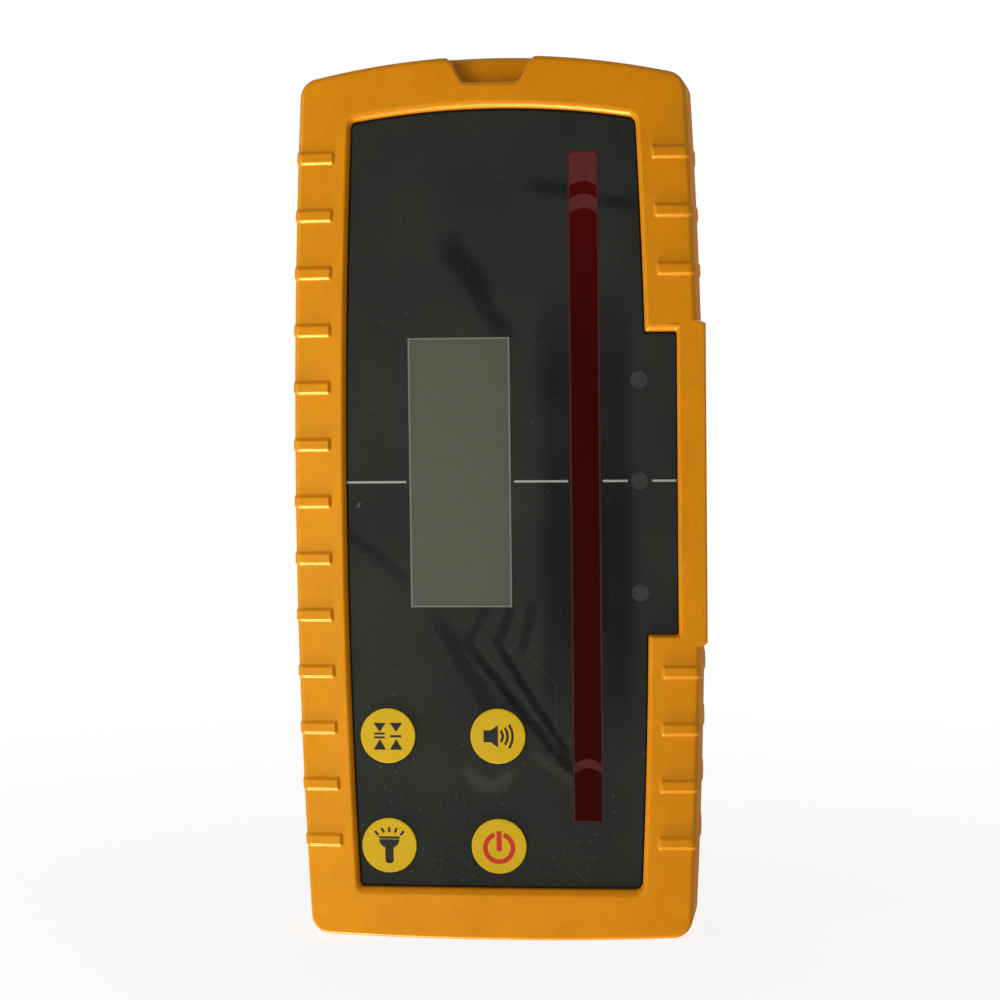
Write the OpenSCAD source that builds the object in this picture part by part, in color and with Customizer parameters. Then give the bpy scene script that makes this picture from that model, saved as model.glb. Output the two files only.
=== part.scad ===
// Hand-held laser receiver. Two orange shells close on a seal, a dark panel with
// keys, a display and a red receiver window fills the front, and two cells lie
// in a bay behind a door in the back. Millimetres.
// +X is right as seen from the front, the front faces -Y and +Z is up.
// The origin is under the middle of the lower end.

/* [Body] */
// Height of the body
body_h = 158.4; // [150:0.1:175]
// Width of the body at its widest, at the seam, without the ribs
body_w = 73.8; // [72:0.1:84]
// How much each side draws in from the seam to the front and to the back
side_draft = 0.4; // [0.2:0.05:0.8]
// Height at which the body is widest
widest_z = 75.7; // [65:0.1:90]
// Radius of the bowed sides
side_r = 1400; // [1000:10:3000]
// Radius of the arched top
top_r = 150; // [130:1:250]
// Radius of the lower end
bottom_r = 650; // [400:10:1200]
// Radius of the four corners seen from the front
corner_r = 3.6; // [2.6:0.1:6]
// Rounding of the front and back edges
edge_r = 0.8; // [0.6:0.1:1.6]
// Thickness of the shell walls
wall = 2.2; // [1.8:0.1:2.6]
// Depth of the front shell, from the rim to the seam
front_shell_d = 12.9; // [11:0.1:15]
// Gap between the shells that the seal fills
seam_gap = 0.8; // [0.5:0.1:1.2]

/* [Ribs and block] */
// Number of grip ribs on the left side
rib_count = 13; // [7:1:13]
// Distance between two ribs
rib_pitch = 10.23; // [9:0.01:10.5]
// Height of one rib
rib_h = 2.15; // [1.5:0.05:3]
// How far the ribs stand proud
rib_proud = 0.5; // [0.3:0.05:0.9]
// How far a rib reaches in over the rim
rib_reach = 6.2; // [4:0.1:7]
// Height of the middle of the row of ribs
rib_mid_z = 79.5; // [75:0.1:84]
// Height of the block on the right side
block_h = 58.1; // [50:0.1:64]
// How far the block stands out past the seam's width at the front
block_proud = 0.85; // [0.5:0.05:1.2]

/* [Front panel] */
// Width of the rim beside the panel
rim_side = 9.36; // [8.5:0.01:11]
// Width of the rim above the panel
rim_top = 9.6; // [8.5:0.1:12]
// Width of the rim below the panel
rim_bottom = 9.7; // [8:0.1:12]
// Radius of the arched upper edge of the panel
panel_top_r = 152; // [130:1:250]
// Radius of the panel's corners
panel_corner_r = 1.6; // [1:0.1:3]
// Depth of the panel below the rim
panel_sink = 1.2; // [0.8:0.1:1.6]
// Thickness of the panel
panel_t = 1.4; // [1:0.1:2]
// Thickness of the shell behind the panel
floor_t = 1.6; // [1.2:0.1:2.4]
// Width of the slope between the rim and the panel
bevel_w = 1; // [0.5:0.1:1.4]
// How far the panel reaches to the right beside the indicator lamps
wing_w = 5.29; // [4.5:0.01:6]
// Height of that wing of the panel
wing_h = 53.35; // [48:0.05:56]

/* [Sight notch] */
// Width of the notch's floor in the top rim
notch_w = 11.5; // [8:0.1:12]
// Width of the notch at its mouth
notch_mouth_w = 16.4; // [13:0.1:18]
// Height of the notch's floor below the top
notch_drop = 4.6; // [3:0.1:5.2]
// Depth of the notch from the rim
notch_d = 3.4; // [2.5:0.1:6]

/* [Display and windows] */
// Height of the grade line above the panel's middle
grade_rise = 3.6; // [1:0.1:5]
// Width of the display window
lcd_w = 18.3; // [16:0.1:20]
// Height of the display window
lcd_h = 48.35; // [42:0.05:50]
// Place of the display's middle, left of the axis, as a share of the panel's half width
lcd_left_share = 0.234; // [0.2:0.001:0.26]
// Height of the display's middle above the grade line
lcd_rise = 1.6; // [0:0.1:3]
// Width of the red receiver window
strip_w = 5.45; // [4.5:0.05:6.5]
// Place of the receiver window, right of the axis, as a share of the panel's half width
strip_right_share = 0.597; // [0.56:0.001:0.63]
// Panel left bare above the receiver window
strip_top_margin = 7.35; // [6:0.05:12]
// Panel left bare below the receiver window
strip_bottom_margin = 11.7; // [8:0.1:14]
// Diameter of an indicator lamp's lens
lens_d = 3.1; // [2.4:0.1:3.6]
// Place of the lamps, right of the axis, as a share of the panel's half width
lens_right_share = 0.9525; // [0.9:0.0005:1]
// Height of the upper lamp above the grade line
lens_up = 18; // [14:0.1:21]
// Depth of the lower lamp below the grade line
lens_down = 20; // [14:0.1:22]

/* [Keys] */
// Diameter of a key
key_d = 10; // [8:0.1:11]
// Distance between the two rows of keys
key_pitch = 20; // [18:0.1:20.5]
// Place of the left keys, left of the axis, as a share of the panel's half width
key_left_share = 0.737; // [0.7:0.001:0.75]
// Height of the lower keys above the panel's lower edge
key_rise = 7.3; // [7:0.1:9]
// How far a key stands proud of the panel
key_proud = 0.4; // [0.3:0.05:0.6]
// Travel of a key
key_travel = 0.4; // [0.2:0.05:0.6]

/* [Board] */
// Gap between the shell and the board, for what the board carries
board_gap = 2.7; // [2.4:0.1:4]
// Thickness of the board
board_t = 1.6; // [1:0.1:2]
// Number of photodiodes behind the receiver window
diode_count = 12; // [6:1:16]

/* [Cells and door] */
// Diameter of a cell
cell_d = 14.2; // [13.5:0.1:14.6]
// Length of a cell without its knob
cell_len = 49.2; // [44:0.1:52]
// Length of a contact spring when pressed
spring_len = 5; // [4:0.1:7]
// Thickness of the door
door_t = 2; // [1.8:0.1:3]
// Height of the door's lower edge
door_z = 7.5; // [6:0.1:10]
// Width of the ledge that the door lies on
door_ledge = 3.6; // [3.2:0.1:4.5]

/* [Bracket mount] */
// Diameter of the threaded hole, at the thread's crest
bracket_bore_d = 5.1; // [4:0.1:5.4]
// Depth of the threaded hole
bracket_len = 9; // [6:0.1:9.5]
// Distance between the two locating holes
locator_pitch = 28; // [22:0.5:32]
// Diameter of a locating hole
locator_d = 4; // [3:0.1:5]
// Depth of a locating hole
locator_len = 5; // [3:0.1:7]
// Height of the threaded hole above the door
bracket_rise = 31; // [26:0.5:32]

/* [Hidden] */
$fn = 48;

// Clearances and overrun of the cuts
overrun = 1;
fit_gap = 0.05;
slide_gap = 0.3;
running_gap = 0.08;

// Steps of the arcs of an outline, and of the rounded edges
bottom_steps = 5;
corner_steps = 5;
side_steps = 8;
top_steps = 8;
edge_steps = 4;
panel_bottom_r = 5000;

// Width of the flat in the middle of the lower end
foot_w = 12;

// Small sizes of the front shell
rib_clear = 0.4;
pillar_d = 7;
pillar_inset = 6.35;
pillar_end = 12.2;
notch_corner_r = 1.7;
notch_wall = 1.6;
window_ledge = 0.9;
wing_drop = 0.6;
wing_corner_r = 0.6;
block_in = 6;
board_post_d = 5;

// Small sizes of the keys and lamps
key_edge = 0.35;
flange_w = 1;
flange_t = 0.8;
flange_gap = 0.1;
stem_d = 3.2;
stem_sink = 0.4;
switch_w = 6;
switch_h = 1.6;
lens_step = 0.6;
lens_proud = 0.05;
lamp_w = 3;
lamp_h = 1.2;

// Small sizes of what the board carries
board_side_gap = 0.5;
board_end_gap = 6;
board_post_inset = 3;
board_post_drop = 8;
diode_w = 4;
diode_l = 5;
diode_t = 1.8;
diode_end = 4;
frame_w = 2;
zebra_w = 1.6;
glass_t = 1.1;
glass_gap = 0.2;
glass_margin = 1.2;
chip_w = 9;
chip_t = 1.1;
chip_rise = 12;
chip_pitch = 15;
buzzer_d = 13;
buzzer_h = 7.5;
buzzer_bore_d = 2;
buzzer_bore_len = 1.5;
buzzer_left_share = 0.46;
buzzer_drop = 38;
vent_d = 1.4;
vent_pitch = 3;
vent_count = 6;
membrane_d = 10;
membrane_t = 0.3;

// Small sizes of the cells, the bay and the door
bay_clear = 0.3;
bay_wall = 1.2;
cell_clear = 0.2;
cell_gap = 0.6;
knob_d = 5.4;
knob_h = 1.2;
contact_t = 0.4;
contact_w = 10;
spring_wire_d = 0.8;
spring_d = 8;
spring_turns = 4;
spring_steps = 12;
spring_sides = 5;
door_inset = 0.2;
door_gap = 0.3;
door_corner_r = 3;
door_head = 13.5;
ledge_t = 1.6;
seal_t = 0.8;
seal_w = 1.8;
seal_edge = 0.6;
coin_screw_d = 4;
coin_head_d = 9;
coin_head_t = 1.1;
coin_head_gap = 0.05;
coin_end_gap = 0.6;
coin_slot_w = 1.4;
coin_slot_d = 0.6;
insert_wall = 1.2;
door_insert_len = 6;
post_wall = 1.6;
post_floor = 1.4;
bracket_insert_d = 9;
insert_sink = 0.2;

// Small sizes of the screws
screw_d = 3;
screw_head_d = 5.6;
screw_head_h = 2.2;
screw_sink = 2.6;
screw_bite = 6;
screw_end_gap = 0.6;
drive_share = 0.45;
drive_d = 1;
drive_sides = 6;
board_screw_d = 2;
board_head_d = 3.8;
board_head_h = 1.4;

// Levels through the depth, from the rim to the back face
body_d = panel_sink + panel_t + floor_t + board_gap + board_t + bay_clear + bay_wall
    + cell_clear + cell_d + 2 * cell_clear + door_t + door_inset;
back_y = (body_d + rib_proud) / 2;
rim_y = back_y - body_d;
panel_y = rim_y + panel_sink;
floor_y = panel_y + panel_t;
cavity_y = floor_y + floor_t;
mid_floor_y = (floor_y + cavity_y) / 2;
board_y = cavity_y + board_gap;
board_back_y = board_y + board_t;
bay_front_y = board_back_y + bay_clear;
bay_y = bay_front_y + bay_wall;
cell_y = bay_y + cell_clear + cell_d / 2;
door_out_y = back_y - door_inset;
door_in_y = door_out_y - door_t;
ledge_y = door_in_y - seal_t;
front_seam_y = rim_y + front_shell_d;
rear_seam_y = front_seam_y + seam_gap;
back_inner_y = back_y - wall;
mid_wall_y = back_y - wall / 2;
screw_seat_y = back_y - screw_sink;
screw_end_y = front_seam_y - screw_bite;

// Places on the front
panel_z0 = rim_bottom;
panel_z1 = body_h - rim_top;
panel_half_w = body_w / 2 - side_draft - rim_side;
lcd_left = lcd_left_share * panel_half_w;
strip_right = strip_right_share * panel_half_w;
lens_right = lens_right_share * panel_half_w;
key_left = key_left_share * panel_half_w;
grade_z = (panel_z0 + panel_z1) / 2 + grade_rise;
lcd_z = grade_z + lcd_rise;
strip_z0 = panel_z0 + strip_bottom_margin;
strip_z1 = panel_z1 - strip_top_margin;
wing_x = panel_half_w + wing_w;
wing_z = grade_z - wing_drop;
key_face_y = panel_y - key_proud;
key_back_y = floor_y + flange_gap + flange_t;
flange_d = key_d + 2 * flange_w;
switch_y = board_y - switch_h;

// Places of the screws and of the board
pillar_x = body_w / 2 - pillar_inset;
pillar_zs = [pillar_end, body_h / 2, body_h - pillar_end];
board_w = 2 * (pillar_x - pillar_d / 2 - board_side_gap);
board_z0 = wall + board_end_gap;
board_z1 = panel_z1 - panel_corner_r - wall;
post_x = board_w / 2 - board_post_inset;
post_zs = [panel_z0 + key_rise + key_pitch / 2, board_z1 - board_post_drop];

// Places on the back
cell_pitch = cell_d + cell_gap;
bay_w = cell_pitch + cell_d + 2 * cell_clear;
bay_len = cell_len + knob_h + spring_len + 2 * contact_t;
bay_z0 = door_z + door_ledge;
bay_z1 = bay_z0 + bay_len;
door_w = bay_w + 2 * door_ledge;
door_z1 = bay_z1 + door_head;
coin_z = bay_z1 + (door_head + seal_w) / 2;
bracket_z = door_z1 + bracket_rise;
buzzer_left = buzzer_left_share * body_w / 2;
buzzer_z = body_h - buzzer_drop;

// Points of an arc, from one angle to another
function arc(centre, r, a0, a1, steps) =
    [for (i = [0:steps]) let (a = a0 + (a1 - a0) * i / steps) centre + r * [cos(a), sin(a)]];

// Direction of a vector, in degrees
function heading(v) = atan2(v[1], v[0]);

// Where two circles cross, on the left (1) or right (-1) of the line between them
function crossing(c1, r1, c2, r2, hand) =
    let (d = norm(c2 - c1), along = (d * d + r1 * r1 - r2 * r2) / (2 * d), u = (c2 - c1) / d)
    c1 + along * u + hand * sqrt(r1 * r1 - along * along) * [-u[1], u[0]];

// All points but the first
function tail(points) = [for (i = [1:len(points) - 1]) points[i]];

// The points mirrored to the left side, in reverse
function mirrored(points) = [for (i = [len(points) - 1:-1:0]) [-points[i][0], points[i][1]]];

// Outline of four arcs with rounded corners, grown outwards: the lower end, the
// right side, the top and the left side
function bowed(half_w, mid_z, z0, low_r, z1, high_r, round_r, grow) =
    let (
        side_c = [half_w - side_r, mid_z],
        low_c = [0, z0 + sqrt(low_r * low_r - foot_w * foot_w / 4)],
        high_c = [0, z1 - high_r],
        low_f = crossing(low_c, low_r - round_r, side_c, side_r - round_r, 1),
        high_f = crossing(high_c, high_r - round_r, side_c, side_r - round_r, -1),
        r = round_r + grow,
        right = concat(
            arc(low_c, low_r + grow, asin(foot_w / 2 / low_r) - 90, heading(low_f - low_c), bottom_steps),
            tail(arc(low_f, r, heading(low_f - low_c), heading(low_f - side_c), corner_steps)),
            tail(arc(side_c, side_r + grow, heading(low_f - side_c), heading(high_f - side_c), side_steps)),
            tail(arc(high_f, r, heading(high_f - side_c), heading(high_f - high_c), corner_steps)),
            tail(arc(high_c, high_r + grow, heading(high_f - high_c), 90, top_steps))
        )
    )
    concat(right, tail(mirrored(right)));

// Outlines of the body, with its sides drawn in, and of the main field of the panel
function body_outline(grow, draw = 0) =
    bowed(body_w / 2 - draw, widest_z, 0, bottom_r, body_h, top_r, corner_r, grow);
function panel_outline(grow) =
    bowed(panel_half_w, widest_z, panel_z0, panel_bottom_r, panel_z1, panel_top_r, panel_corner_r, grow);

// Half the width of the body at a height, at the seam
function half_width(z) = body_w / 2 - side_r + sqrt(side_r * side_r - pow(z - widest_z, 2));

// Outline of a rectangle with rounded corners, around a middle
function rounded(x, z, w, h, r) =
    concat(
        arc([x + w / 2 - r, z - h / 2 + r], r, -90, 0, corner_steps),
        arc([x + w / 2 - r, z + h / 2 - r], r, 0, 90, corner_steps),
        arc([x - w / 2 + r, z + h / 2 - r], r, 90, 180, corner_steps),
        arc([x - w / 2 + r, z - h / 2 + r], r, 180, 270, corner_steps)
    );

// Outline of the wing of the panel, which overlaps the main field
function wing_outline(grow) =
    rounded(wing_x / 2, wing_z, wing_x + 2 * grow, wing_h + 2 * grow, wing_corner_r + grow);

// Solid through rings of points, each given as [y, outline], from front to back
module loft(rings) {
    n = len(rings[0][1]);
    last = len(rings) - 1;
    points = [for (ring = rings) for (p = ring[1]) [p[0], ring[0], p[1]]];
    sides = [
        for (i = [0:last - 1]) for (j = [0:n - 1])
            let (a = i * n + j, b = i * n + (j + 1) % n)
            each [[a, b, b + n], [a, b + n, a + n]]
    ];
    front = [for (j = [n - 1:-1:0]) j];
    back = [for (j = [0:n - 1]) last * n + j];
    polyhedron(points, concat([front], sides, [back]));
}

// Flat piece between two depths
module plate(outline, y0, y1) {
    translate([0, y1, 0]) rotate([90, 0, 0]) linear_extrude(y1 - y0) polygon(outline);
}

// Box between two depths, around a middle in X and Z
module box(x, z, w, h, y0, y1) {
    translate([x - w / 2, y0, z - h / 2]) cube([w, y1 - y0, h]);
}

// Round bar between two depths
module bar(x, z, d, y0, y1) {
    translate([x, y0, z]) rotate([-90, 0, 0]) cylinder(d = d, h = y1 - y0);
}

// Turned piece whose profile is [radius, distance behind y]
module turned(x, z, y, profile) {
    translate([x, y, z]) rotate([-90, 0, 0]) rotate_extrude() polygon(profile);
}

// One half of the body from its outer face to the seam, solid, with a rounded edge.
// The face lies at y and the seam at seam_y, before or behind it.
module half_body(y, seam_y, r, grow) {
    inward = sign(seam_y - y);
    rounding = [
        for (i = [0:edge_steps]) let (a = 90 * i / edge_steps)
            [y + inward * r * (1 - cos(a)), body_outline(grow - r * (1 - sin(a)), side_draft)]
    ];
    rings = concat(rounding, [[seam_y, body_outline(grow)]]);
    last = len(rings) - 1;
    loft(inward > 0 ? rings : [for (i = [last:-1:0]) rings[i]]);
}

// Heights of the ribs, and whether the block leaves room for a rib
rib_zs = [for (i = [0:rib_count - 1]) rib_mid_z + (i - (rib_count - 1) / 2) * rib_pitch];
function beside_block(z) = abs(z - wing_z) > (block_h + rib_h) / 2 + rib_clear;

// The ribs of one half: slices of a body grown by their height
module ribs(y, seam_y, grow) {
    intersection() {
        half_body(y, seam_y, edge_r + grow, grow);
        for (z = rib_zs) {
            reach = rib_reach + rib_proud;
            left = half_width(z) - rib_reach;
            rib_y0 = min(y, seam_y);
            rib_y1 = max(y, seam_y);
            box(-left - reach / 2, z, reach, rib_h, rib_y0, rib_y1);
            if (beside_block(z)) box(left + reach / 2, z, reach, rib_h, rib_y0, rib_y1);
        }
    }
}

// Outline of the block on the right side at a depth. Its ends slope, and its reach
// runs out at the back.
function block_outline(y) =
    let (
        side = body_w / 2,
        out = body_w / 2 + block_proud * (back_y - y) / (back_y - rim_y),
        slope = out - side,
        top = wing_z + block_h / 2,
        low = wing_z - block_h / 2,
        upper = [[out, top - slope], [side, top], [side - block_in, top]],
        lower = [[side - block_in, low], [side, low], [out, low + slope]]
    )
    concat(upper, lower);

// The block on the right side of one half
module side_block(y0, y1) {
    loft([[y0, block_outline(y0)], [y1, block_outline(y1)]]);
}

// Places of the keys, by column and row
function key_x(column) = (column - 1) * key_left;
function key_z(row) = panel_z0 + key_rise + row * key_pitch;
key_places = [for (row = [0, 1]) for (column = [0, 1]) [key_x(column), key_z(row)]];

// Places of the lamps, the housing's screws and the board's screws
lens_zs = [grade_z + lens_up, grade_z, grade_z - lens_down];
pillar_places = [for (z = pillar_zs) for (side = [-1, 1]) [side * pillar_x, z]];
post_places = [for (z = post_zs) for (side = [-1, 1]) [side * post_x, z]];

// Sight notch in the top rim, open to the front
module notch() {
    z = body_h - notch_drop;
    r = notch_corner_r;
    slope = [(notch_mouth_w - notch_w) / 2, notch_drop];
    rise = slope / norm(slope);
    mouth = [notch_mouth_w / 2, body_h] + rise * overrun;
    floor_end = [notch_w / 2 - r, z + r];
    turn = heading([rise[1], -rise[0]]);
    right = concat(arc(floor_end, r, -90, turn, corner_steps), [mouth]);
    plate(concat(right, mirrored(right)), rim_y - rib_proud - overrun, rim_y + notch_d);
}

// Sunk field of the rim that the panel lies in, with its sloping edge
module panel_field() {
    slope_top = bevel_w + bevel_w * overrun / panel_sink;
    rings = [rim_y - overrun, panel_y];
    loft([[rings[0], panel_outline(slope_top)], [rings[1], panel_outline(fit_gap)]]);
    loft([[rings[0], wing_outline(slope_top)], [rings[1], wing_outline(fit_gap)]]);
    plate(panel_outline(fit_gap), panel_y - fit_gap, floor_y);
    plate(wing_outline(fit_gap), panel_y - fit_gap, floor_y);
}

module front_housing() {
    notch_z = body_h - notch_drop - notch_wall;
    notch_top = body_h - wall / 2;
    color("darkorange") difference() {
        union() {
            difference() {
                union() {
                    half_body(rim_y, front_seam_y, edge_r, 0);
                    ribs(rim_y - rib_proud, front_seam_y, rib_proud);
                    side_block(rim_y, front_seam_y);
                }
                plate(body_outline(-wall), cavity_y, front_seam_y + overrun);
            }
            for (p = pillar_places) bar(p[0], p[1], pillar_d, mid_floor_y, front_seam_y);
            for (p = post_places) bar(p[0], p[1], board_post_d, mid_floor_y, board_y);
            box(0, (notch_z + notch_top) / 2, notch_mouth_w + 2 * notch_wall, notch_top - notch_z,
                mid_floor_y, rim_y + notch_d + notch_wall);
        }
        panel_field();
        notch();
        box(-lcd_left, lcd_z, lcd_w - 2 * window_ledge, lcd_h - 2 * window_ledge,
            floor_y - overrun, cavity_y + overrun);
        box(strip_right, (strip_z0 + strip_z1) / 2, strip_w - 2 * window_ledge,
            strip_z1 - strip_z0 - 2 * window_ledge, floor_y - overrun, cavity_y + overrun);
        for (p = key_places)
            bar(p[0], p[1], flange_d + 2 * slide_gap, floor_y - overrun, cavity_y + overrun);
        for (z = lens_zs)
            bar(lens_right, z, lens_d + 2 * (lens_step + fit_gap), floor_y - overrun, cavity_y + overrun);
        for (p = pillar_places)
            bar(p[0], p[1], screw_d + 2 * fit_gap, screw_end_y - screw_end_gap, front_seam_y + overrun);
        for (p = post_places) bar(p[0], p[1], board_screw_d + 2 * fit_gap, cavity_y, board_y + overrun);
    }
}

// Outline of the door, grown outwards
function door_outline(grow) =
    rounded(0, (door_z + door_z1) / 2, door_w + 2 * grow, door_z1 - door_z + 2 * grow, door_corner_r + grow);

// Outer diameter of the door's insert, and places of the locating holes
door_insert_d = coin_screw_d + 2 * (running_gap + insert_wall);
locator_zs = [bracket_z - locator_pitch / 2, bracket_z + locator_pitch / 2];
bay_mid_z = (bay_z0 + bay_z1) / 2;

// Vent holes over the buzzer: one in the middle of a ring
module vents() {
    bar(-buzzer_left, buzzer_z, vent_d, back_inner_y - overrun, back_y + overrun);
    for (i = [0:vent_count - 1]) {
        a = 360 * i / vent_count;
        bar(vent_pitch * cos(a) - buzzer_left, vent_pitch * sin(a) + buzzer_z, vent_d,
            back_inner_y - overrun, back_y + overrun);
    }
}

module rear_housing() {
    insert_floor_y = back_y - insert_sink - bracket_len;
    door_post_y = ledge_y - door_insert_len;
    color("darkorange") difference() {
        union() {
            difference() {
                union() {
                    half_body(back_y, rear_seam_y, edge_r, 0);
                    ribs(back_y - rib_proud, rear_seam_y, rib_proud);
                    side_block(rear_seam_y, back_y - edge_r);
                }
                plate(body_outline(-wall), rear_seam_y - overrun, back_inner_y);
            }
            for (p = pillar_places) bar(p[0], p[1], pillar_d, rear_seam_y, mid_wall_y);
            box(0, bay_mid_z, bay_w + 2 * bay_wall, bay_len + 2 * bay_wall, bay_front_y, mid_wall_y);
            plate(door_outline(door_gap + ledge_t), ledge_y - ledge_t, mid_wall_y);
            bar(0, coin_z, door_insert_d + 2 * post_wall, door_post_y - post_floor, mid_wall_y);
            bar(0, bracket_z, bracket_insert_d + 2 * post_wall, insert_floor_y - post_floor, mid_wall_y);
            for (z = locator_zs)
                bar(0, z, locator_d + 2 * post_wall, back_y - locator_len - post_floor, mid_wall_y);
        }
        box(0, bay_mid_z, bay_w, bay_len, bay_y, back_y);
        plate(door_outline(door_gap), ledge_y, back_y + overrun);
        bar(0, coin_z, door_insert_d + 2 * fit_gap, door_post_y, ledge_y + overrun);
        bar(0, bracket_z, bracket_insert_d + 2 * fit_gap, insert_floor_y, back_y + overrun);
        for (z = locator_zs) bar(0, z, locator_d, back_y - locator_len, back_y + overrun);
        vents();
        for (p = pillar_places) {
            bar(p[0], p[1], screw_d + 2 * slide_gap, rear_seam_y - overrun, back_y);
            bar(p[0], p[1], screw_head_d + 2 * slide_gap, screw_seat_y, back_y + overrun);
        }
    }
}

module housing_seal() {
    color("dimgray") difference() {
        plate(body_outline(-seal_edge), front_seam_y, rear_seam_y);
        plate(body_outline(-wall), front_seam_y - overrun, rear_seam_y + overrun);
    }
}

module front_panel() {
    color("darkslategray") difference() {
        union() {
            plate(panel_outline(0), panel_y, floor_y);
            plate(wing_outline(0), panel_y, floor_y);
        }
        box(-lcd_left, lcd_z, lcd_w + 2 * fit_gap, lcd_h + 2 * fit_gap,
            panel_y - overrun, floor_y + overrun);
        box(strip_right, (strip_z0 + strip_z1) / 2, strip_w + 2 * fit_gap, strip_z1 - strip_z0 + 2 * fit_gap,
            panel_y - overrun, floor_y + overrun);
        for (p = key_places) bar(p[0], p[1], key_d + 2 * slide_gap, panel_y - overrun, floor_y + overrun);
        for (z = lens_zs) bar(lens_right, z, lens_d + 2 * fit_gap, panel_y - overrun, floor_y + overrun);
    }
}

module lcd_window() {
    color("slategray") box(-lcd_left, lcd_z, lcd_w, lcd_h, panel_y, floor_y);
}

module receiver_window() {
    color("darkred")
        box(strip_right, (strip_z0 + strip_z1) / 2, strip_w, strip_z1 - strip_z0, panel_y, floor_y);
}

// Stepped lens of an indicator lamp, held between the panel and the shell
module led_lens(z) {
    r = lens_d / 2;
    step = panel_t + lens_proud;
    depth = step + floor_t;
    color("gray") turned(lens_right, z, panel_y - lens_proud,
        [[0, 0], [r, 0], [r, step], [r + lens_step, step], [r + lens_step, depth], [0, depth]]);
}

module led_lens_high() { led_lens(lens_zs[0]); }
module led_lens_level() { led_lens(lens_zs[1]); }
module led_lens_low() { led_lens(lens_zs[2]); }

// Key with a broken edge and a flange that the panel holds back
module key(place) {
    r = key_d / 2;
    front = floor_y + flange_gap - key_face_y;
    back = front + flange_t;
    rim = r + flange_w;
    color("gold") turned(place[0], place[1], key_face_y,
        [[0, 0], [r - key_edge, 0], [r, key_edge], [r, front], [rim, front], [rim, back], [0, back]]);
}

module key_light() { key(key_places[0]); }
module key_power() { key(key_places[1]); }
module key_grade() { key(key_places[2]); }
module key_sound() { key(key_places[3]); }

// Actuator between a key and its switch
module stem(place) {
    color("ivory") bar(place[0], place[1], stem_d, key_back_y, switch_y + stem_sink);
}

module stem_light() { stem(key_places[0]); }
module stem_power() { stem(key_places[1]); }
module stem_grade() { stem(key_places[2]); }
module stem_sound() { stem(key_places[3]); }

module switch_bodies() {
    color("black") for (p = key_places) difference() {
        box(p[0], p[1], switch_w, switch_w, switch_y, board_y);
        bar(p[0], p[1], stem_d + 2 * slide_gap, switch_y - overrun,
            switch_y + stem_sink + key_travel + slide_gap);
    }
}

module main_board() {
    color("darkgreen") difference() {
        box(0, (board_z0 + board_z1) / 2, board_w, board_z1 - board_z0, board_y, board_back_y);
        for (p = post_places)
            bar(p[0], p[1], board_screw_d + 2 * fit_gap, board_y - overrun, board_back_y + overrun);
    }
}

module board_chips() {
    for (i = [0, 1]) color("black")
        box(0, door_z1 + chip_rise + i * chip_pitch, chip_w, chip_w, board_back_y, board_back_y + chip_t);
}

module photodiodes() {
    first = strip_z0 + diode_end;
    step = (strip_z1 - strip_z0 - 2 * diode_end) / (diode_count - 1);
    for (i = [0:diode_count - 1]) color("midnightblue")
        box(strip_right, first + i * step, diode_w, diode_l, board_y - diode_t, board_y);
}

module indicator_leds() {
    for (z = lens_zs) color("white") box(lens_right, z, lamp_w, lamp_w, board_y - lamp_h, board_y);
}

// Size of the display's glass, and the thickness of what lights it from behind
glass_w = lcd_w + 2 * glass_margin;
glass_h = lcd_h + 2 * glass_margin;
backlight_t = board_gap - glass_t - glass_gap;
glass_back_y = board_y - backlight_t;

module lcd_frame() {
    color("silver") difference() {
        box(-lcd_left, lcd_z, glass_w + 2 * frame_w, glass_h + 2 * frame_w, cavity_y, board_y);
        box(-lcd_left, lcd_z, glass_w + 2 * fit_gap, glass_h + 2 * fit_gap,
            cavity_y - overrun, board_y + overrun);
    }
}

module lcd_glass() {
    color("darkseagreen") box(-lcd_left, lcd_z, glass_w, glass_h, glass_back_y - glass_t, glass_back_y);
}

module lcd_backlight() {
    color("whitesmoke")
        box(-lcd_left, lcd_z, glass_w, glass_h - 2 * (zebra_w + fit_gap), glass_back_y, board_y);
}

module zebra_strips() {
    for (end = [-1, 1]) color("hotpink")
        box(-lcd_left, lcd_z + end * (glass_h - zebra_w) / 2, glass_w, zebra_w, glass_back_y, board_y);
}

module buzzer() {
    back = board_back_y + buzzer_h;
    color("black") difference() {
        bar(-buzzer_left, buzzer_z, buzzer_d, board_back_y, back);
        bar(-buzzer_left, buzzer_z, buzzer_bore_d, back - buzzer_bore_len, back + overrun);
    }
}

module vent_membrane() {
    color("white") bar(-buzzer_left, buzzer_z, membrane_d, back_inner_y - membrane_t, back_inner_y);
}

// A cell stands on its spring, or hangs under it where it is turned over
module cell(x, turned_over) {
    z0 = bay_z0 + contact_t;
    length = cell_len + knob_h;
    start = turned_over ? z0 + length : z0 + spring_len;
    translate([x, cell_y, start]) mirror([0, 0, turned_over ? 1 : 0]) {
        cylinder(d = cell_d, h = cell_len);
        cylinder(d = knob_d, h = length);
    }
}

module battery_1() { color("dimgray") cell(-cell_pitch / 2, false); }
module battery_2() { color("dimgray") cell(cell_pitch / 2, true); }

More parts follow.
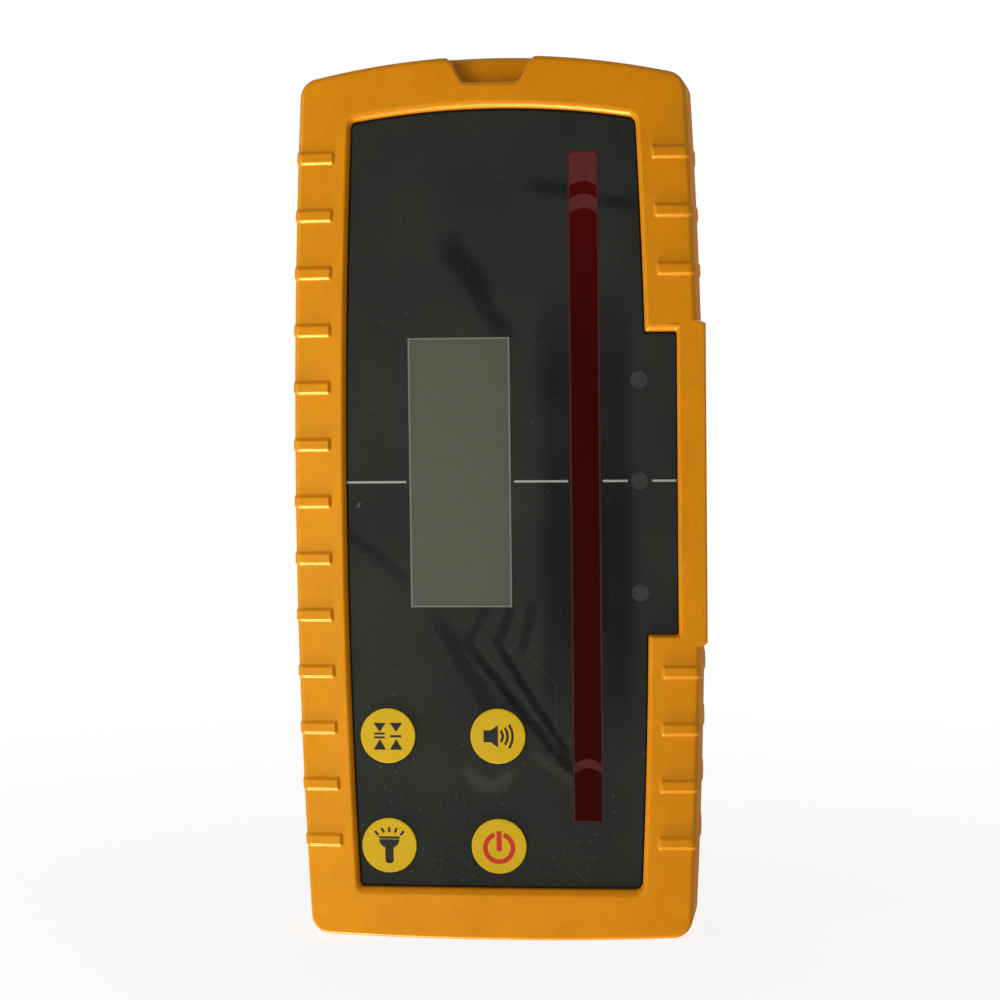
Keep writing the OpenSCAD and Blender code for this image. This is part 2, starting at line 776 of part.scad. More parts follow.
// Contact spring: a round wire wound from one height to another
module wound_wire(x, z0, z1) {
    count = spring_turns * spring_steps;
    wire_r = spring_wire_d / 2;
    low = z0 + wire_r;
    rise = z1 - z0 - spring_wire_d;
    points = [
        for (i = [0:count]) for (j = [0:spring_sides - 1])
            let (a = 360 * i / spring_steps, b = 360 * j / spring_sides,
                 r = spring_d / 2 + wire_r * cos(b))
            [x + r * cos(a), cell_y + r * sin(a), low + rise * i / count + wire_r * sin(b)]
    ];
    sides = [
        for (i = [0:count - 1]) for (j = [0:spring_sides - 1])
            let (a = i * spring_sides + j, b = i * spring_sides + (j + 1) % spring_sides)
            each [[a, b, b + spring_sides], [a, b + spring_sides, a + spring_sides]]
    ];
    start = [for (j = [spring_sides - 1:-1:0]) j];
    end = [for (j = [0:spring_sides - 1]) count * spring_sides + j];
    polyhedron(points, concat([start], sides, [end]));
}

module battery_springs() {
    low = bay_z0 + contact_t;
    high = bay_z1 - contact_t;
    color("silver") {
        wound_wire(-cell_pitch / 2, low, low + spring_len);
        wound_wire(cell_pitch / 2, high - spring_len, high);
    }
}

// One plate joins the cells below, and two plates lead out above
module battery_contacts() {
    color("silver") {
        box(0, bay_z0 + contact_t / 2, cell_pitch + contact_w, contact_t,
            cell_y - contact_w / 2, cell_y + contact_w / 2);
        for (side = [-1, 1])
            box(side * cell_pitch / 2, bay_z1 - contact_t / 2, contact_w, contact_t,
                cell_y - contact_w / 2, cell_y + contact_w / 2);
    }
}

// Seat of the coin screw's head in the door
coin_seat_y = door_out_y - coin_head_t - coin_head_gap;

module battery_door() {
    color("darkorange") difference() {
        plate(door_outline(0), door_in_y, door_out_y);
        bar(0, coin_z, coin_head_d + 2 * slide_gap, coin_seat_y, door_out_y + overrun);
        bar(0, coin_z, coin_screw_d + 2 * running_gap, door_in_y - overrun, door_out_y);
    }
}

module door_seal() {
    edge = 2 * seal_edge;
    broad = edge + 2 * seal_w;
    r = door_corner_r;
    color("dimgray") difference() {
        plate(rounded(0, bay_mid_z, bay_w + broad, bay_len + broad, r), ledge_y + fit_gap, door_in_y);
        plate(rounded(0, bay_mid_z, bay_w + edge, bay_len + edge, r - seal_w), ledge_y, door_in_y + overrun);
    }
}

module door_screw() {
    head_y = coin_seat_y + coin_head_gap;
    color("silver") difference() {
        union() {
            bar(0, coin_z, coin_screw_d, ledge_y - door_insert_len + coin_end_gap, door_out_y);
            bar(0, coin_z, coin_head_d, head_y, door_out_y);
        }
        box(0, coin_z, coin_head_d + overrun, coin_slot_w, door_out_y - coin_slot_d, door_out_y + overrun);
    }
}

module door_insert() {
    color("goldenrod") difference() {
        bar(0, coin_z, door_insert_d, ledge_y - door_insert_len, ledge_y);
        bar(0, coin_z, coin_screw_d + 2 * running_gap,
            ledge_y - door_insert_len - overrun, ledge_y + overrun);
    }
}

module bracket_insert() {
    mouth = back_y - insert_sink;
    color("goldenrod") difference() {
        bar(0, bracket_z, bracket_insert_d, mouth - bracket_len, mouth);
        bar(0, bracket_z, bracket_bore_d, mouth - bracket_len - overrun, mouth + overrun);
    }
}

// Screw with a hexagon socket, driven in from the back
module socket_screw(place, d, head_d, head_h, seat_y, end_y) {
    top = seat_y + head_h;
    color("silver") difference() {
        union() {
            bar(place[0], place[1], d, end_y, top);
            bar(place[0], place[1], head_d, seat_y, top);
        }
        bar(place[0], place[1], drive_share * head_d, top - drive_d, top + overrun, $fn = drive_sides);
    }
}

module housing_screws() {
    for (p = pillar_places) socket_screw(p, screw_d, screw_head_d, screw_head_h, screw_seat_y, screw_end_y);
}

module board_screws() {
    for (p = post_places) socket_screw(p, board_screw_d, board_head_d, board_head_h, board_back_y, cavity_y);
}

front_housing();
rear_housing();
housing_seal();
front_panel();
lcd_window();
receiver_window();
led_lens_high();
led_lens_level();
led_lens_low();
key_grade();
key_sound();
key_light();
key_power();
stem_grade();
stem_sound();
stem_light();
stem_power();
switch_bodies();
main_board();
board_chips();
photodiodes();
indicator_leds();
lcd_frame();
lcd_glass();
lcd_backlight();
zebra_strips();
buzzer();
vent_membrane();
battery_1();
battery_2();
battery_springs();
battery_contacts();
battery_door();
door_seal();
door_screw();
door_insert();
bracket_insert();
housing_screws();
board_screws();
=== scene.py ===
# Looks of the laser receiver: moulded shells, panel, prints, keys and finishes, laid
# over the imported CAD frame. Shapes are worked out in millimetres and made in metres.
import math

import bmesh
import bpy
import numpy as np
from mathutils import Matrix, Vector


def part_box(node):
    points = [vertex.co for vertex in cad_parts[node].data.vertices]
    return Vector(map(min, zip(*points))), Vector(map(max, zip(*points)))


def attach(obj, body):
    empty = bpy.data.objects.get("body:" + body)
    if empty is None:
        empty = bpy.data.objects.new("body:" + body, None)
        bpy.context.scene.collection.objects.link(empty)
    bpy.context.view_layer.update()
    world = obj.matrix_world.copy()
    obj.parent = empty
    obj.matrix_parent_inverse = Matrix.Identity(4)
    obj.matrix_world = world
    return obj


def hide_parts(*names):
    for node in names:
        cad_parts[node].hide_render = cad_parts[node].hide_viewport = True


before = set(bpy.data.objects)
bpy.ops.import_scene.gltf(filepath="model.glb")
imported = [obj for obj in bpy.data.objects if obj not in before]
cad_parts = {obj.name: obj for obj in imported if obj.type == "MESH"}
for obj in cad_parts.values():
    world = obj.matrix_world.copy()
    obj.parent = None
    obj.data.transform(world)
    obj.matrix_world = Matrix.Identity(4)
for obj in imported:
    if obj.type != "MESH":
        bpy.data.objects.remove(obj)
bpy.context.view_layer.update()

MM = 0.001


def span(node):
    """Lowest and highest corner of a CAD node, in millimetres."""
    low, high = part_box(node)
    return low / MM, high / MM


def middle(node):
    """Middle of a node seen from the front, as x, z in millimetres."""
    low, high = span(node)
    return (low.x + high.x) / 2, (low.z + high.z) / 2


# Levels and places read from the CAD nodes
FRONT_LOW, FRONT_HIGH = span("front_housing")
PANEL_LOW, PANEL_HIGH = span("front_panel")
RIB_PROUD = 0.5
RIM_Y = FRONT_LOW.y + RIB_PROUD
SEAM_Y = FRONT_HIGH.y
BODY_H = FRONT_HIGH.z
BACK_Y = span("rear_housing")[1].y
PANEL_Y = PANEL_LOW.y
FLOOR_Y = PANEL_HIGH.y

# Outline of the body and of the panel; it is made a little narrower and moved right, as in the photograph
BODY_HALF_W = 36.9
SIDE_DRAFT = 0.4
OUTLINE_SHARE = 0.996
OUTLINE_SHIFT = 0.17
FACE_HALF_W = BODY_HALF_W - SIDE_DRAFT
WIDEST_Z = 75.7
SIDE_R = 1400
TOP_R = 150
BOTTOM_R = 650
CORNER_R = 3.6
FOOT_W = 12
WALL = 2.2
FLOOR_T = 1.6
RIM_SIDE = 9.36
PANEL_HALF_W = FACE_HALF_W - RIM_SIDE
PANEL_TOP_R = 152
PANEL_BOTTOM_R = 5000
PANEL_CORNER_R = 1.15
WING_X = PANEL_HIGH.x
WING_LOW = 55.575
WING_HIGH = 108.925

# Ribs, side block and sight notch
RIB_COUNT = 13
RIB_PITCH = 10.23
RIB_MID_Z = 79.5
RIB_FLAT = 0.62
RIB_FOOT = 1.38
RIB_BLEND_SHARE = 0.3
RIB_REACH = 6.1
RIB_SIDE_SHARE = 0.45
RIB_END = 0.48
BLOCK_LOW = 53.2
BLOCK_HIGH = 111.3
BLOCK_FRONT_X = 37.75
BLOCK_SEAM_X = 37.35
BLOCK_BACK_X = 36.98
BLOCK_EDGE_R = 0.35
BLOCK_END = 0.4
EDGE_R = 0.8
SEAM_EDGE = 0.25
NOTCH_Z = 153.8
NOTCH_W = 11.5
NOTCH_MOUTH_W = 16.4
NOTCH_D = 3.4
NOTCH_CORNER_R = 1.7
NOTCH_CREST_R = 1.6
NOTCH_BACK_R = 1.2
NOTCH_FILLET = 0.3

# Rounded lip of the rim and the groove beside the panel: distance from the panel's edge, depth below the rim
SLOPE = (
    (1.75, 0), (1.6, 0.012), (1.45, 0.045), (1.3, 0.1), (1.15, 0.19), (1, 0.3), (0.85, 0.43), (0.7, 0.57),
    (0.56, 0.73), (0.46, 0.9), (0.4, 1.1), (0.38, 1.4), (0.36, 2.2), (0.05, 2.4), (0.05, 2.5),
)

# How much of the lip's and groove's width is left along the sides, the wing's side and its lower edge
SIDE_LIP_SHARE = 0.6
WING_SIDE_SHARE = 0.45
WING_LOW_SHARE = 0.45

# How far the panel's left edge lies further right than the mirrored right one
PANEL_LEFT_SHIFT = 0.36

# Radii of the wing's inner and outer corners, at the panel's edge and at the rim
WING_INNER_RS = (0.45, 0.3)
WING_OUTER_RS = (0.4, 0.5)


def between(a, b, share):
    return a + (b - a) * share


def outline_point(centre, radius, angle):
    """Point of an arc and its outward normal, as x, z, nx, nz."""
    nx = math.cos(angle)
    nz = math.sin(angle)
    return centre[0] + radius * nx, centre[1] + radius * nz, nx, nz


def circles_cross(c1, r1, c2, r2, hand):
    """Where two circles cross, left (1) or right (-1) of the line between them."""
    dx = c2[0] - c1[0]
    dz = c2[1] - c1[1]
    d = math.hypot(dx, dz)
    along = (d * d + r1 * r1 - r2 * r2) / (2 * d)
    off = hand * math.sqrt(r1 * r1 - along * along)
    return c1[0] + (along * dx - off * dz) / d, c1[1] + (along * dz + off * dx) / d


def bearing(start, end):
    return math.atan2(end[1] - start[1], end[0] - start[0])


def quarter(steps):
    """Angles of a quarter turn."""
    return np.linspace(0, math.pi / 2, steps + 1)


def inside(start, end, count):
    """Places spread evenly between two others."""
    return np.linspace(start, end, count + 2)[1:-1]


class Bowed:
    """Right half of an outline of bowed sides, arched ends and rounded corners."""

    def __init__(self, half_w, z0, low_r, z1, high_r, round_r):
        self.low_r = low_r
        self.high_r = high_r
        self.round_r = round_r
        self.z0 = z0
        self.side_c = (half_w - SIDE_R, WIDEST_Z)
        self.low_c = (0, z0 + math.sqrt(low_r ** 2 - FOOT_W ** 2 / 4))
        self.high_c = (0, z1 - high_r)
        self.low_f = circles_cross(self.low_c, low_r - round_r, self.side_c, SIDE_R - round_r, 1)
        self.high_f = circles_cross(self.high_c, high_r - round_r, self.side_c, SIDE_R - round_r, -1)

    def bottom(self, x):
        if x <= FOOT_W / 2:
            return x, self.z0, 0, -1
        return outline_point(self.low_c, self.low_r, -math.acos(x / self.low_r))

    def side(self, z):
        return outline_point(self.side_c, SIDE_R, math.asin((z - WIDEST_Z) / SIDE_R))

    def top(self, x):
        return outline_point(self.high_c, self.high_r, math.acos(x / self.high_r))

    def low_corner(self, share):
        a0 = bearing(self.low_c, self.low_f)
        a1 = bearing(self.side_c, self.low_f)
        return outline_point(self.low_f, self.round_r, between(a0, a1, share))

    def high_corner(self, share):
        a0 = bearing(self.side_c, self.high_f)
        a1 = bearing(self.high_c, self.high_f)
        return outline_point(self.high_f, self.round_r, between(a0, a1, share))


BODY = Bowed(BODY_HALF_W, 0, BOTTOM_R, BODY_H, TOP_R, CORNER_R)
PANEL = Bowed(
    PANEL_HALF_W, PANEL_LOW.z, PANEL_BOTTOM_R, PANEL_HIGH.z, PANEL_TOP_R, PANEL_CORNER_R
)

# Where the rim's straight stretches end: beyond them both outlines turn their corners
BOTTOM_END_X = 23.9
SIDE_START_Z = 11.5
SIDE_END_Z = 144.8
TOP_END_X = 23.4

# Stretches of the right side in which the panel's edge steps out to its wing
STEP_REACH_LOW = (50.6, 57.6)
STEP_REACH_HIGH = (106.9, 114.2)

# Numbers of points along the stretches of an outline
END_STEPS = 12
CORNER_LEAD = 5
CORNER_STEPS = 12
EDGE_STEPS = 6
STEP_LEAD = 6
STEP_TURN = 7
STEP_RUN = 14
SIDE_STEP = 2.4
NOTCH_STEP = 0.16
NOTCH_REACH = 9.4

RIB_ZS = [RIB_MID_Z + (i - (RIB_COUNT - 1) / 2) * RIB_PITCH for i in range(RIB_COUNT)]
RIB_HALF = (0, 0.4, 0.6, 0.68, 0.76, 0.84, 0.92, 1.08, 1.16, 1.24, 1.32, 1.4, 1.6)
RIB_SAMPLES = [-w for w in reversed(RIB_HALF[1:])] + list(RIB_HALF)


def beside_block(z):
    return z < BLOCK_LOW - RIB_FOOT or z > BLOCK_HIGH + RIB_FOOT


def smooth(t):
    t = np.clip(t, 0, 1)
    return t * t * (3 - 2 * t)


def ramp(t):
    """A straight rise from 0 to 1 with its two ends rounded."""
    t = np.clip(t, 0, 1)
    curve = 2 * RIB_BLEND_SHARE * (1 - RIB_BLEND_SHARE)
    straight = (t - RIB_BLEND_SHARE / 2) / (1 - RIB_BLEND_SHARE)
    risen = np.where(t < RIB_BLEND_SHARE, t ** 2 / curve, straight)
    return np.where(t > 1 - RIB_BLEND_SHARE, 1 - (1 - t) ** 2 / curve, risen)


def side_heights(z0, z1, ribs):
    """Heights along a side, close together where a rib stands."""
    heights = [z0]
    for rib in ribs:
        first = rib + RIB_SAMPLES[0]
        if not z0 < first < z1:
            continue
        gaps = max(1, round((first - heights[-1]) / SIDE_STEP))
        heights += list(inside(heights[-1], first, gaps - 1))
        heights += [rib + w for w in RIB_SAMPLES]
    gaps = max(1, round((z1 - heights[-1]) / SIDE_STEP))
    return heights + list(np.linspace(heights[-1], z1, gaps + 1)[1:])


def wing_step(lower, offset):
    """The edge of the panel's field where it steps out to the wing, from low to high.

    The edge is moved out into the rim by offset; the points are x and z."""
    share = offset / SLOPE[0][0]
    inner_r = between(*WING_INNER_RS, share)
    outer_r = between(*WING_OUTER_RS, share)
    away = -1 if lower else 1
    edge_share = WING_LOW_SHARE if lower else 1
    far, near = STEP_REACH_LOW if lower else STEP_REACH_HIGH[::-1]
    edge_z = (WING_LOW if lower else WING_HIGH) + away * offset * edge_share
    side_offset = offset * SIDE_LIP_SHARE
    side_x = PANEL.side(edge_z)[0] + side_offset
    wing_x = WING_X + offset * WING_SIDE_SHARE
    turns = quarter(STEP_TURN)[1:]
    lead = np.linspace(far, edge_z + away * inner_r, STEP_LEAD)
    points = [(PANEL.side(z)[0] + side_offset, z) for z in lead]
    for a in turns:
        points.append((side_x + inner_r * (1 - math.cos(a)), edge_z + away * inner_r * (1 - math.sin(a))))
    for x in np.linspace(side_x + inner_r, wing_x - outer_r, STEP_RUN)[1:]:
        points.append((x, edge_z))
    for a in turns:
        points.append((wing_x - outer_r * (1 - math.sin(a)), edge_z - away * outer_r * (1 - math.cos(a))))
    for z in np.linspace(edge_z - away * outer_r, near, STEP_LEAD)[1:]:
        points.append((wing_x, z))
    return points if lower else points[::-1]


def half_stations(winged):
    """Pairs of a point of the body's outline and one of the panel's, up the right side."""
    pairs = []
    for x in np.linspace(0, BOTTOM_END_X, END_STEPS):
        pairs.append((BODY.bottom(x), PANEL.bottom(x)))
    pairs += corner_pairs(
        [BODY.bottom(x) for x in inside(BOTTOM_END_X, BODY.low_f[0], CORNER_LEAD)],
        BODY.low_corner,
        [BODY.side(z) for z in inside(BODY.low_f[1], SIDE_START_Z, CORNER_LEAD)],
        PANEL.low_corner,
    )
    if winged:
        low_ribs = [z for z in RIB_ZS if z < BLOCK_LOW and beside_block(z)]
        high_ribs = [z for z in RIB_ZS if z > BLOCK_HIGH and beside_block(z)]
        pairs += side_pairs(side_heights(SIDE_START_Z, STEP_REACH_LOW[0], low_ribs)[:-1])
        pairs += step_pairs(True)
        for z in side_heights(STEP_REACH_LOW[1], STEP_REACH_HIGH[0], [])[1:-1]:
            pairs.append((BODY.side(z), (WING_X, z, WING_SIDE_SHARE, 0)))
        pairs += step_pairs(False)
        pairs += side_pairs(side_heights(STEP_REACH_HIGH[1], SIDE_END_Z, high_ribs)[1:])
    else:
        pairs += side_pairs(side_heights(SIDE_START_Z, SIDE_END_Z, RIB_ZS))
    pairs += corner_pairs(
        [BODY.side(z) for z in inside(SIDE_END_Z, BODY.high_f[1], CORNER_LEAD)],
        BODY.high_corner,
        [BODY.top(x) for x in inside(BODY.high_f[0], TOP_END_X, CORNER_LEAD)],
        PANEL.high_corner,
    )
    notch_xs = np.linspace(NOTCH_REACH, 0, round(NOTCH_REACH / NOTCH_STEP) + 1)
    for x in [*np.linspace(TOP_END_X, NOTCH_REACH, END_STEPS)[:-1], *notch_xs]:
        pairs.append((BODY.top(x), PANEL.top(x)))
    return pairs


def side_pairs(heights):
    """Pairs along the plain part of a side."""
    return [(BODY.side(z), PANEL.side(z)) for z in heights]


def corner_pairs(before, corner, after, panel_corner):
    """Pairs round a corner: the panel's tighter corner is shared out over the body's."""
    outer = before + [corner(s) for s in np.linspace(0, 1, CORNER_STEPS)] + after
    shares = np.linspace(0, 1, len(outer))
    return [(o, panel_corner(s)) for o, s in zip(outer, shares)]


def step_pairs(lower):
    """Pairs where the panel's edge steps out to the wing; these points have no normal."""
    path = wing_step(lower, 0)
    heights = np.linspace(*(STEP_REACH_LOW if lower else STEP_REACH_HIGH), len(path))
    return [(BODY.side(z), (*q, 0, 0)) for z, q in zip(heights, path)]


def mirrored(point):
    x, z, nx, nz = point
    return -x, z, -nx, nz


RIGHT = half_stations(True)
LEFT = [(mirrored(p), mirrored(q)) for p, q in reversed(half_stations(False)[1:-1])]
OUTER = np.array([p for p, q in RIGHT + LEFT])
OUTER[:, 0] = OUTER[:, 0] * OUTLINE_SHARE + OUTLINE_SHIFT
INNER = np.array([q for p, q in RIGHT + LEFT])
INNER[:, 0] += PANEL_LEFT_SHIFT * np.maximum(0, -INNER[:, 2]) ** 2
lip_shares = 1 - (1 - SIDE_LIP_SHARE) * INNER[:, 2:3] ** 2
INNER[:, 2:] *= np.where(INNER[:, :1] == WING_X, 1, lip_shares)
STEP_PLACES = np.flatnonzero(~INNER[:, 2:].any(axis=1)).reshape(2, -1)


def panel_edge(offset, y):
    """The edge of the panel's field, moved out into the rim by offset, at depth y."""
    edge = INNER[:, :2] + INNER[:, 2:] * offset
    for lower, places in zip((True, False), STEP_PLACES):
        edge[places] = wing_step(lower, offset)
    return np.column_stack([edge[:, 0], np.full(len(edge), y), edge[:, 1]])


def drawn_in(outline):
    """The outline with its sides drawn in by the draft."""
    narrow = outline.copy()
    narrow[:, 0] *= FACE_HALF_W / BODY_HALF_W
    return narrow


def rib_heights():
    """How far the ribs stand proud at each station: full on their flat, falling to their foot."""
    height = np.zeros(len(OUTER))
    on_side = (OUTER[:, 1] > SIDE_START_Z) & (OUTER[:, 1] < SIDE_END_Z)
    for rib in RIB_ZS:
        fall = 1 - ramp((np.abs(OUTER[:, 1] - rib) - RIB_FLAT) / (RIB_FOOT - RIB_FLAT))
        near = on_side & ((OUTER[:, 0] < 0) | beside_block(rib))
        height = np.maximum(height, np.where(near, fall, 0))
    return RIB_PROUD * height


def blocked(outline, block_x):
    """The outline with the side block standing out of its right side as far as block_x."""
    grown = outline.copy()
    ends = np.minimum(grown[:, 1] - BLOCK_LOW, BLOCK_HIGH - grown[:, 1])
    reach = np.minimum(block_x, BODY_HALF_W + ends)
    growth = np.where(grown[:, 0] > 0, np.maximum(0, reach - grown[:, 0]), 0) * smooth(ends / BLOCK_END)
    grown[:, 0] += growth
    return grown


def notch_profile(x):
    """Height of the notch's floor and flanks, which rise with rounded corners."""
    run = (NOTCH_MOUTH_W - NOTCH_W) / 2
    lean = math.atan2(BODY_H - NOTCH_Z, run)
    corner_x = NOTCH_W / 2 - NOTCH_CORNER_R
    turn_x = corner_x + NOTCH_CORNER_R * math.sin(lean)
    turn_z = NOTCH_Z + NOTCH_CORNER_R * (1 - math.cos(lean))
    x = abs(x)
    if x <= corner_x:
        return NOTCH_Z
    if x <= turn_x:
        return NOTCH_Z + NOTCH_CORNER_R - math.sqrt(NOTCH_CORNER_R ** 2 - (x - corner_x) ** 2)
    return turn_z + (x - turn_x) * math.tan(lean)


def soft_min(a, b, blend):
    """The lower of two heights, with the crossing rounded over."""
    h = np.clip((1 + (b - a) / blend) / 2, 0, 1)
    return b + (a - b) * h - blend * h * (1 - h)


def notched_outline(outline):
    """The outline with the sight notch cut into its top."""
    cut = outline.copy()
    on_top = (np.abs(cut[:, 0]) < NOTCH_REACH) & (cut[:, 1] > BODY_H / 2)
    floor = np.array([notch_profile(x) for x in cut[on_top, 0]])
    cut[on_top, 1] = soft_min(cut[on_top, 1], floor, NOTCH_CREST_R)
    return cut


RIBS = rib_heights()
PLAIN_FACE = drawn_in(OUTER)
FACE = blocked(PLAIN_FACE, BLOCK_FRONT_X)
SEAM_LINE = blocked(OUTER, BLOCK_SEAM_X)
BACK = blocked(PLAIN_FACE, BLOCK_BACK_X)
NOTCHED = notched_outline(FACE)
NOTCH_DEPTH = FACE[:, 1] - NOTCHED[:, 1]


def edge_radii():
    """Rounding of the front edge at each station, tight along the block."""
    tight = smooth((FACE[:, 0] - PLAIN_FACE[:, 0]) / RIB_PROUD)
    return between(EDGE_R, BLOCK_EDGE_R, tight)


def ring(outline, inset, y, lift=0, lift_y=0):
    """One ring of a shell: the outline moved in by inset, at depth y, and lifted by the ribs."""
    ones = np.ones(len(outline))
    outward = (lift * RIB_SIDE_SHARE - inset) * ones
    depth = (y + lift_y) * ones
    xz = outline[:, :2] + outline[:, 2:] * outward[:, None]
    return np.column_stack([xz[:, 0], depth, xz[:, 1]])


def rounded_rings(outline, radii, y, inward, lift):
    """Rings of a quarter round from the side to the face at y; inward points into the shell."""
    rings = []
    for a in quarter(EDGE_STEPS):
        inset = radii * (1 - math.cos(a))
        depth = y + inward * radii * (1 - math.sin(a))
        rings.append(ring(outline, inset, depth, lift * math.cos(a), -inward * lift * math.sin(a)))
    return rings


def seam_rings(outline, seam_y, inward):
    """Rings from the inner wall round the edge at the seam to the side."""
    turn = SEAM_EDGE * (1 - math.cos(math.pi / 4))
    return [
        ring(outline, WALL, seam_y),
        ring(outline, SEAM_EDGE, seam_y, RIBS),
        ring(outline, turn, seam_y + inward * turn, RIBS),
        ring(outline, 0, seam_y + inward * SEAM_EDGE, RIBS),
    ]


def add_object(name, data):
    piece = bpy.data.objects.new(name, data)
    bpy.context.scene.collection.objects.link(piece)
    return piece


# Edges sharper than this angle, in degrees, stay sharp
SHARP_ANGLE = 40


class Skin:
    """A mesh under construction, from loops of points in millimetres."""

    def __init__(self):
        self.mesh = bmesh.new()

    def loop(self, points):
        return [self.mesh.verts.new([float(c) * MM for c in p]) for p in points]

    def bridge(self, *loops):
        """Quads from each loop to the next."""
        for a, b in zip(loops, loops[1:]):
            for i in range(len(a)):
                j = (i + 1) % len(a)
                self.mesh.faces.new((a[i], a[j], b[j], b[i]))

    def tube(self, rings):
        """Loops through rings of points, each joined to the next by quads."""
        loops = [self.loop(points) for points in rings]
        self.bridge(*loops)
        return loops

    def fill(self, *loops):
        """A flat face inside the first loop, with the other loops as its holes."""
        edges = []
        for loop in loops:
            for a, b in zip(loop, loop[1:] + loop[:1]):
                edges.append(self.mesh.edges.get((a, b)) or self.mesh.edges.new((a, b)))
        bmesh.ops.triangle_fill(self.mesh, edges=edges, use_beauty=True)

    def piece(self, name, material, slot, body="housing"):
        """The finished object, riding on its body, smooth but for its sharp edges."""
        bmesh.ops.recalc_face_normals(self.mesh, faces=self.mesh.faces)
        mesh = bpy.data.meshes.new(name)
        self.mesh.to_mesh(mesh)
        self.mesh.free()
        for polygon in mesh.polygons:
            polygon.use_smooth = True
        mesh.set_sharp_from_angle(angle=math.radians(SHARP_ANGLE))
        mesh.materials.append(material)
        piece = add_object(name, mesh)
        piece.modifiers.new("normals", "WEIGHTED_NORMAL").keep_sharp = True
        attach(piece, body)
        return piece


# Rows of the rim, by their distance from the outer edge
RIM_ROWS = (1.5, 2.5, 3.6, 4.7, 5.5, 5.62, 5.7, 5.78, 5.86, 5.94, 6.02, 6.1, 6.3, 7.2)
NOTCH_Y = RIM_Y + NOTCH_D
CAVITY_Y = FLOOR_Y + FLOOR_T
ROW_GAP = 0.1

# Roundings behind the notch: number of steps, and the share of the notch's depth that they may take
CREST_STEPS = 4
CREST_SHARE = 0.5
FILLET_STEPS = 2
FILLET_SHARE = 0.25


def moved_up(outline, rise):
    """The outline with its points moved up by their own amounts."""
    moved = outline.copy()
    moved[:, 1] += rise
    return moved


def side_at(y):
    """The outline of the front shell's side at depth y."""
    share = (SEAM_Y - y) / (SEAM_Y - RIM_Y - EDGE_R)
    return between(SEAM_LINE, FACE, min(1, share))


def notch_rings():
    """Rings from the side over the rounded crest behind the notch, down to the notch's floor."""
    crest = np.minimum(NOTCH_BACK_R, NOTCH_DEPTH * CREST_SHARE)
    fillet = np.minimum(NOTCH_FILLET, NOTCH_DEPTH * FILLET_SHARE)
    rings = []
    for a in quarter(CREST_STEPS):
        y = NOTCH_Y + ROW_GAP + NOTCH_BACK_R * (1 - math.sin(a))
        rings.append(ring(moved_up(side_at(y), crest * (math.cos(a) - 1)), 0, y, RIBS))
    for a in quarter(FILLET_STEPS):
        y = NOTCH_Y - NOTCH_FILLET * (1 - math.cos(a))
        outline = side_at(y)
        outline[:, 1] -= NOTCH_DEPTH
        rings.append(ring(moved_up(outline, fillet * (1 - math.sin(a))), 0, y, RIBS))
    return rings


def front_shell(material):
    """The front shell: one closed skin from the seam over the ribbed rim down to the panel."""
    radii = edge_radii()
    ceiling = np.where(NOTCH_DEPTH > 0, NOTCH_Y + NOTCH_BACK_R + WALL, CAVITY_Y)
    rings = [ring(SEAM_LINE, WALL, ceiling)]
    rings += seam_rings(SEAM_LINE, SEAM_Y, -1)
    rings += notch_rings()
    rings += rounded_rings(NOTCHED, radii, RIM_Y, 1, RIBS)
    slope = [panel_edge(reach, RIM_Y + depth) for reach, depth in SLOPE]
    edge_end = ring(NOTCHED, radii, RIM_Y)
    for reach in RIM_ROWS:
        share = (reach - EDGE_R) / (RIM_SIDE - SLOPE[0][0] - EDGE_R)
        row = between(edge_end, slope[0], share)
        row[:, 1] -= RIBS * (1 - ramp((reach - RIB_REACH + RIB_END) / RIB_END))
        rings.append(row)
    rings += slope
    skin = Skin()
    loops = skin.tube(rings)
    skin.bridge(loops[-1], loops[0])
    piece = skin.piece("front_shell", material, "housing_orange")
    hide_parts("front_housing")


def circle(x, z, radius, y, steps):
    turns = [2 * math.pi * i / steps for i in range(steps)]
    return [(x + radius * math.cos(a), y, z + radius * math.sin(a)) for a in turns]


RECT_STEPS = 8


def grown_rect(low, high, grow, radius, y):
    """A rounded rectangle between two corners (x, z), grown all round, at depth y.

    It runs anticlockwise seen from the front."""
    xs = (low[0] + radius, high[0] - radius)
    zs = (low[1] + radius, high[1] - radius)
    points = []
    for turn, (x, z) in enumerate(((xs[1], zs[0]), (xs[1], zs[1]), (xs[0], zs[1]), (xs[0], zs[0]))):
        for a in quarter(RECT_STEPS) + (turn - 1) * math.pi / 2:
            points.append((x + (radius + grow) * math.cos(a), y, z + (radius + grow) * math.sin(a)))
    return points


def node_rect(node, grow, radius, y):
    """A node's outline as a rounded rectangle grown all round, at depth y."""
    low, high = span(node)
    return grown_rect((low.x, low.z), (high.x, high.z), grow, radius, y)


# Holes in the back face
HOLE_STEPS = 48
VENT_STEPS = 20
HOLE_CHAMFER = 0.3
VENT_CHAMFER = 0.2
SCREW_X = 30.55
SCREW_ZS = (12.2, 79.2, 146.2)
SCREW_SEAT_R = 2.9
SCREW_CHAMFER = 0.1
SCREW_SEAT_DEPTH = 2.6
BRACKET_Z = 111.8
BRACKET_SEAT_R = 4.55
BRACKET_SEAT_DEPTH = 9.2
LOCATOR_ZS = (97.8, 125.8)
LOCATOR_R = 2
LOCATOR_DEPTH = 5
VENT_R = 0.7
VENT_PITCH = 3
VENT_COUNT = 6
REAR_SEAM_Y = span("housing_seal")[1].y

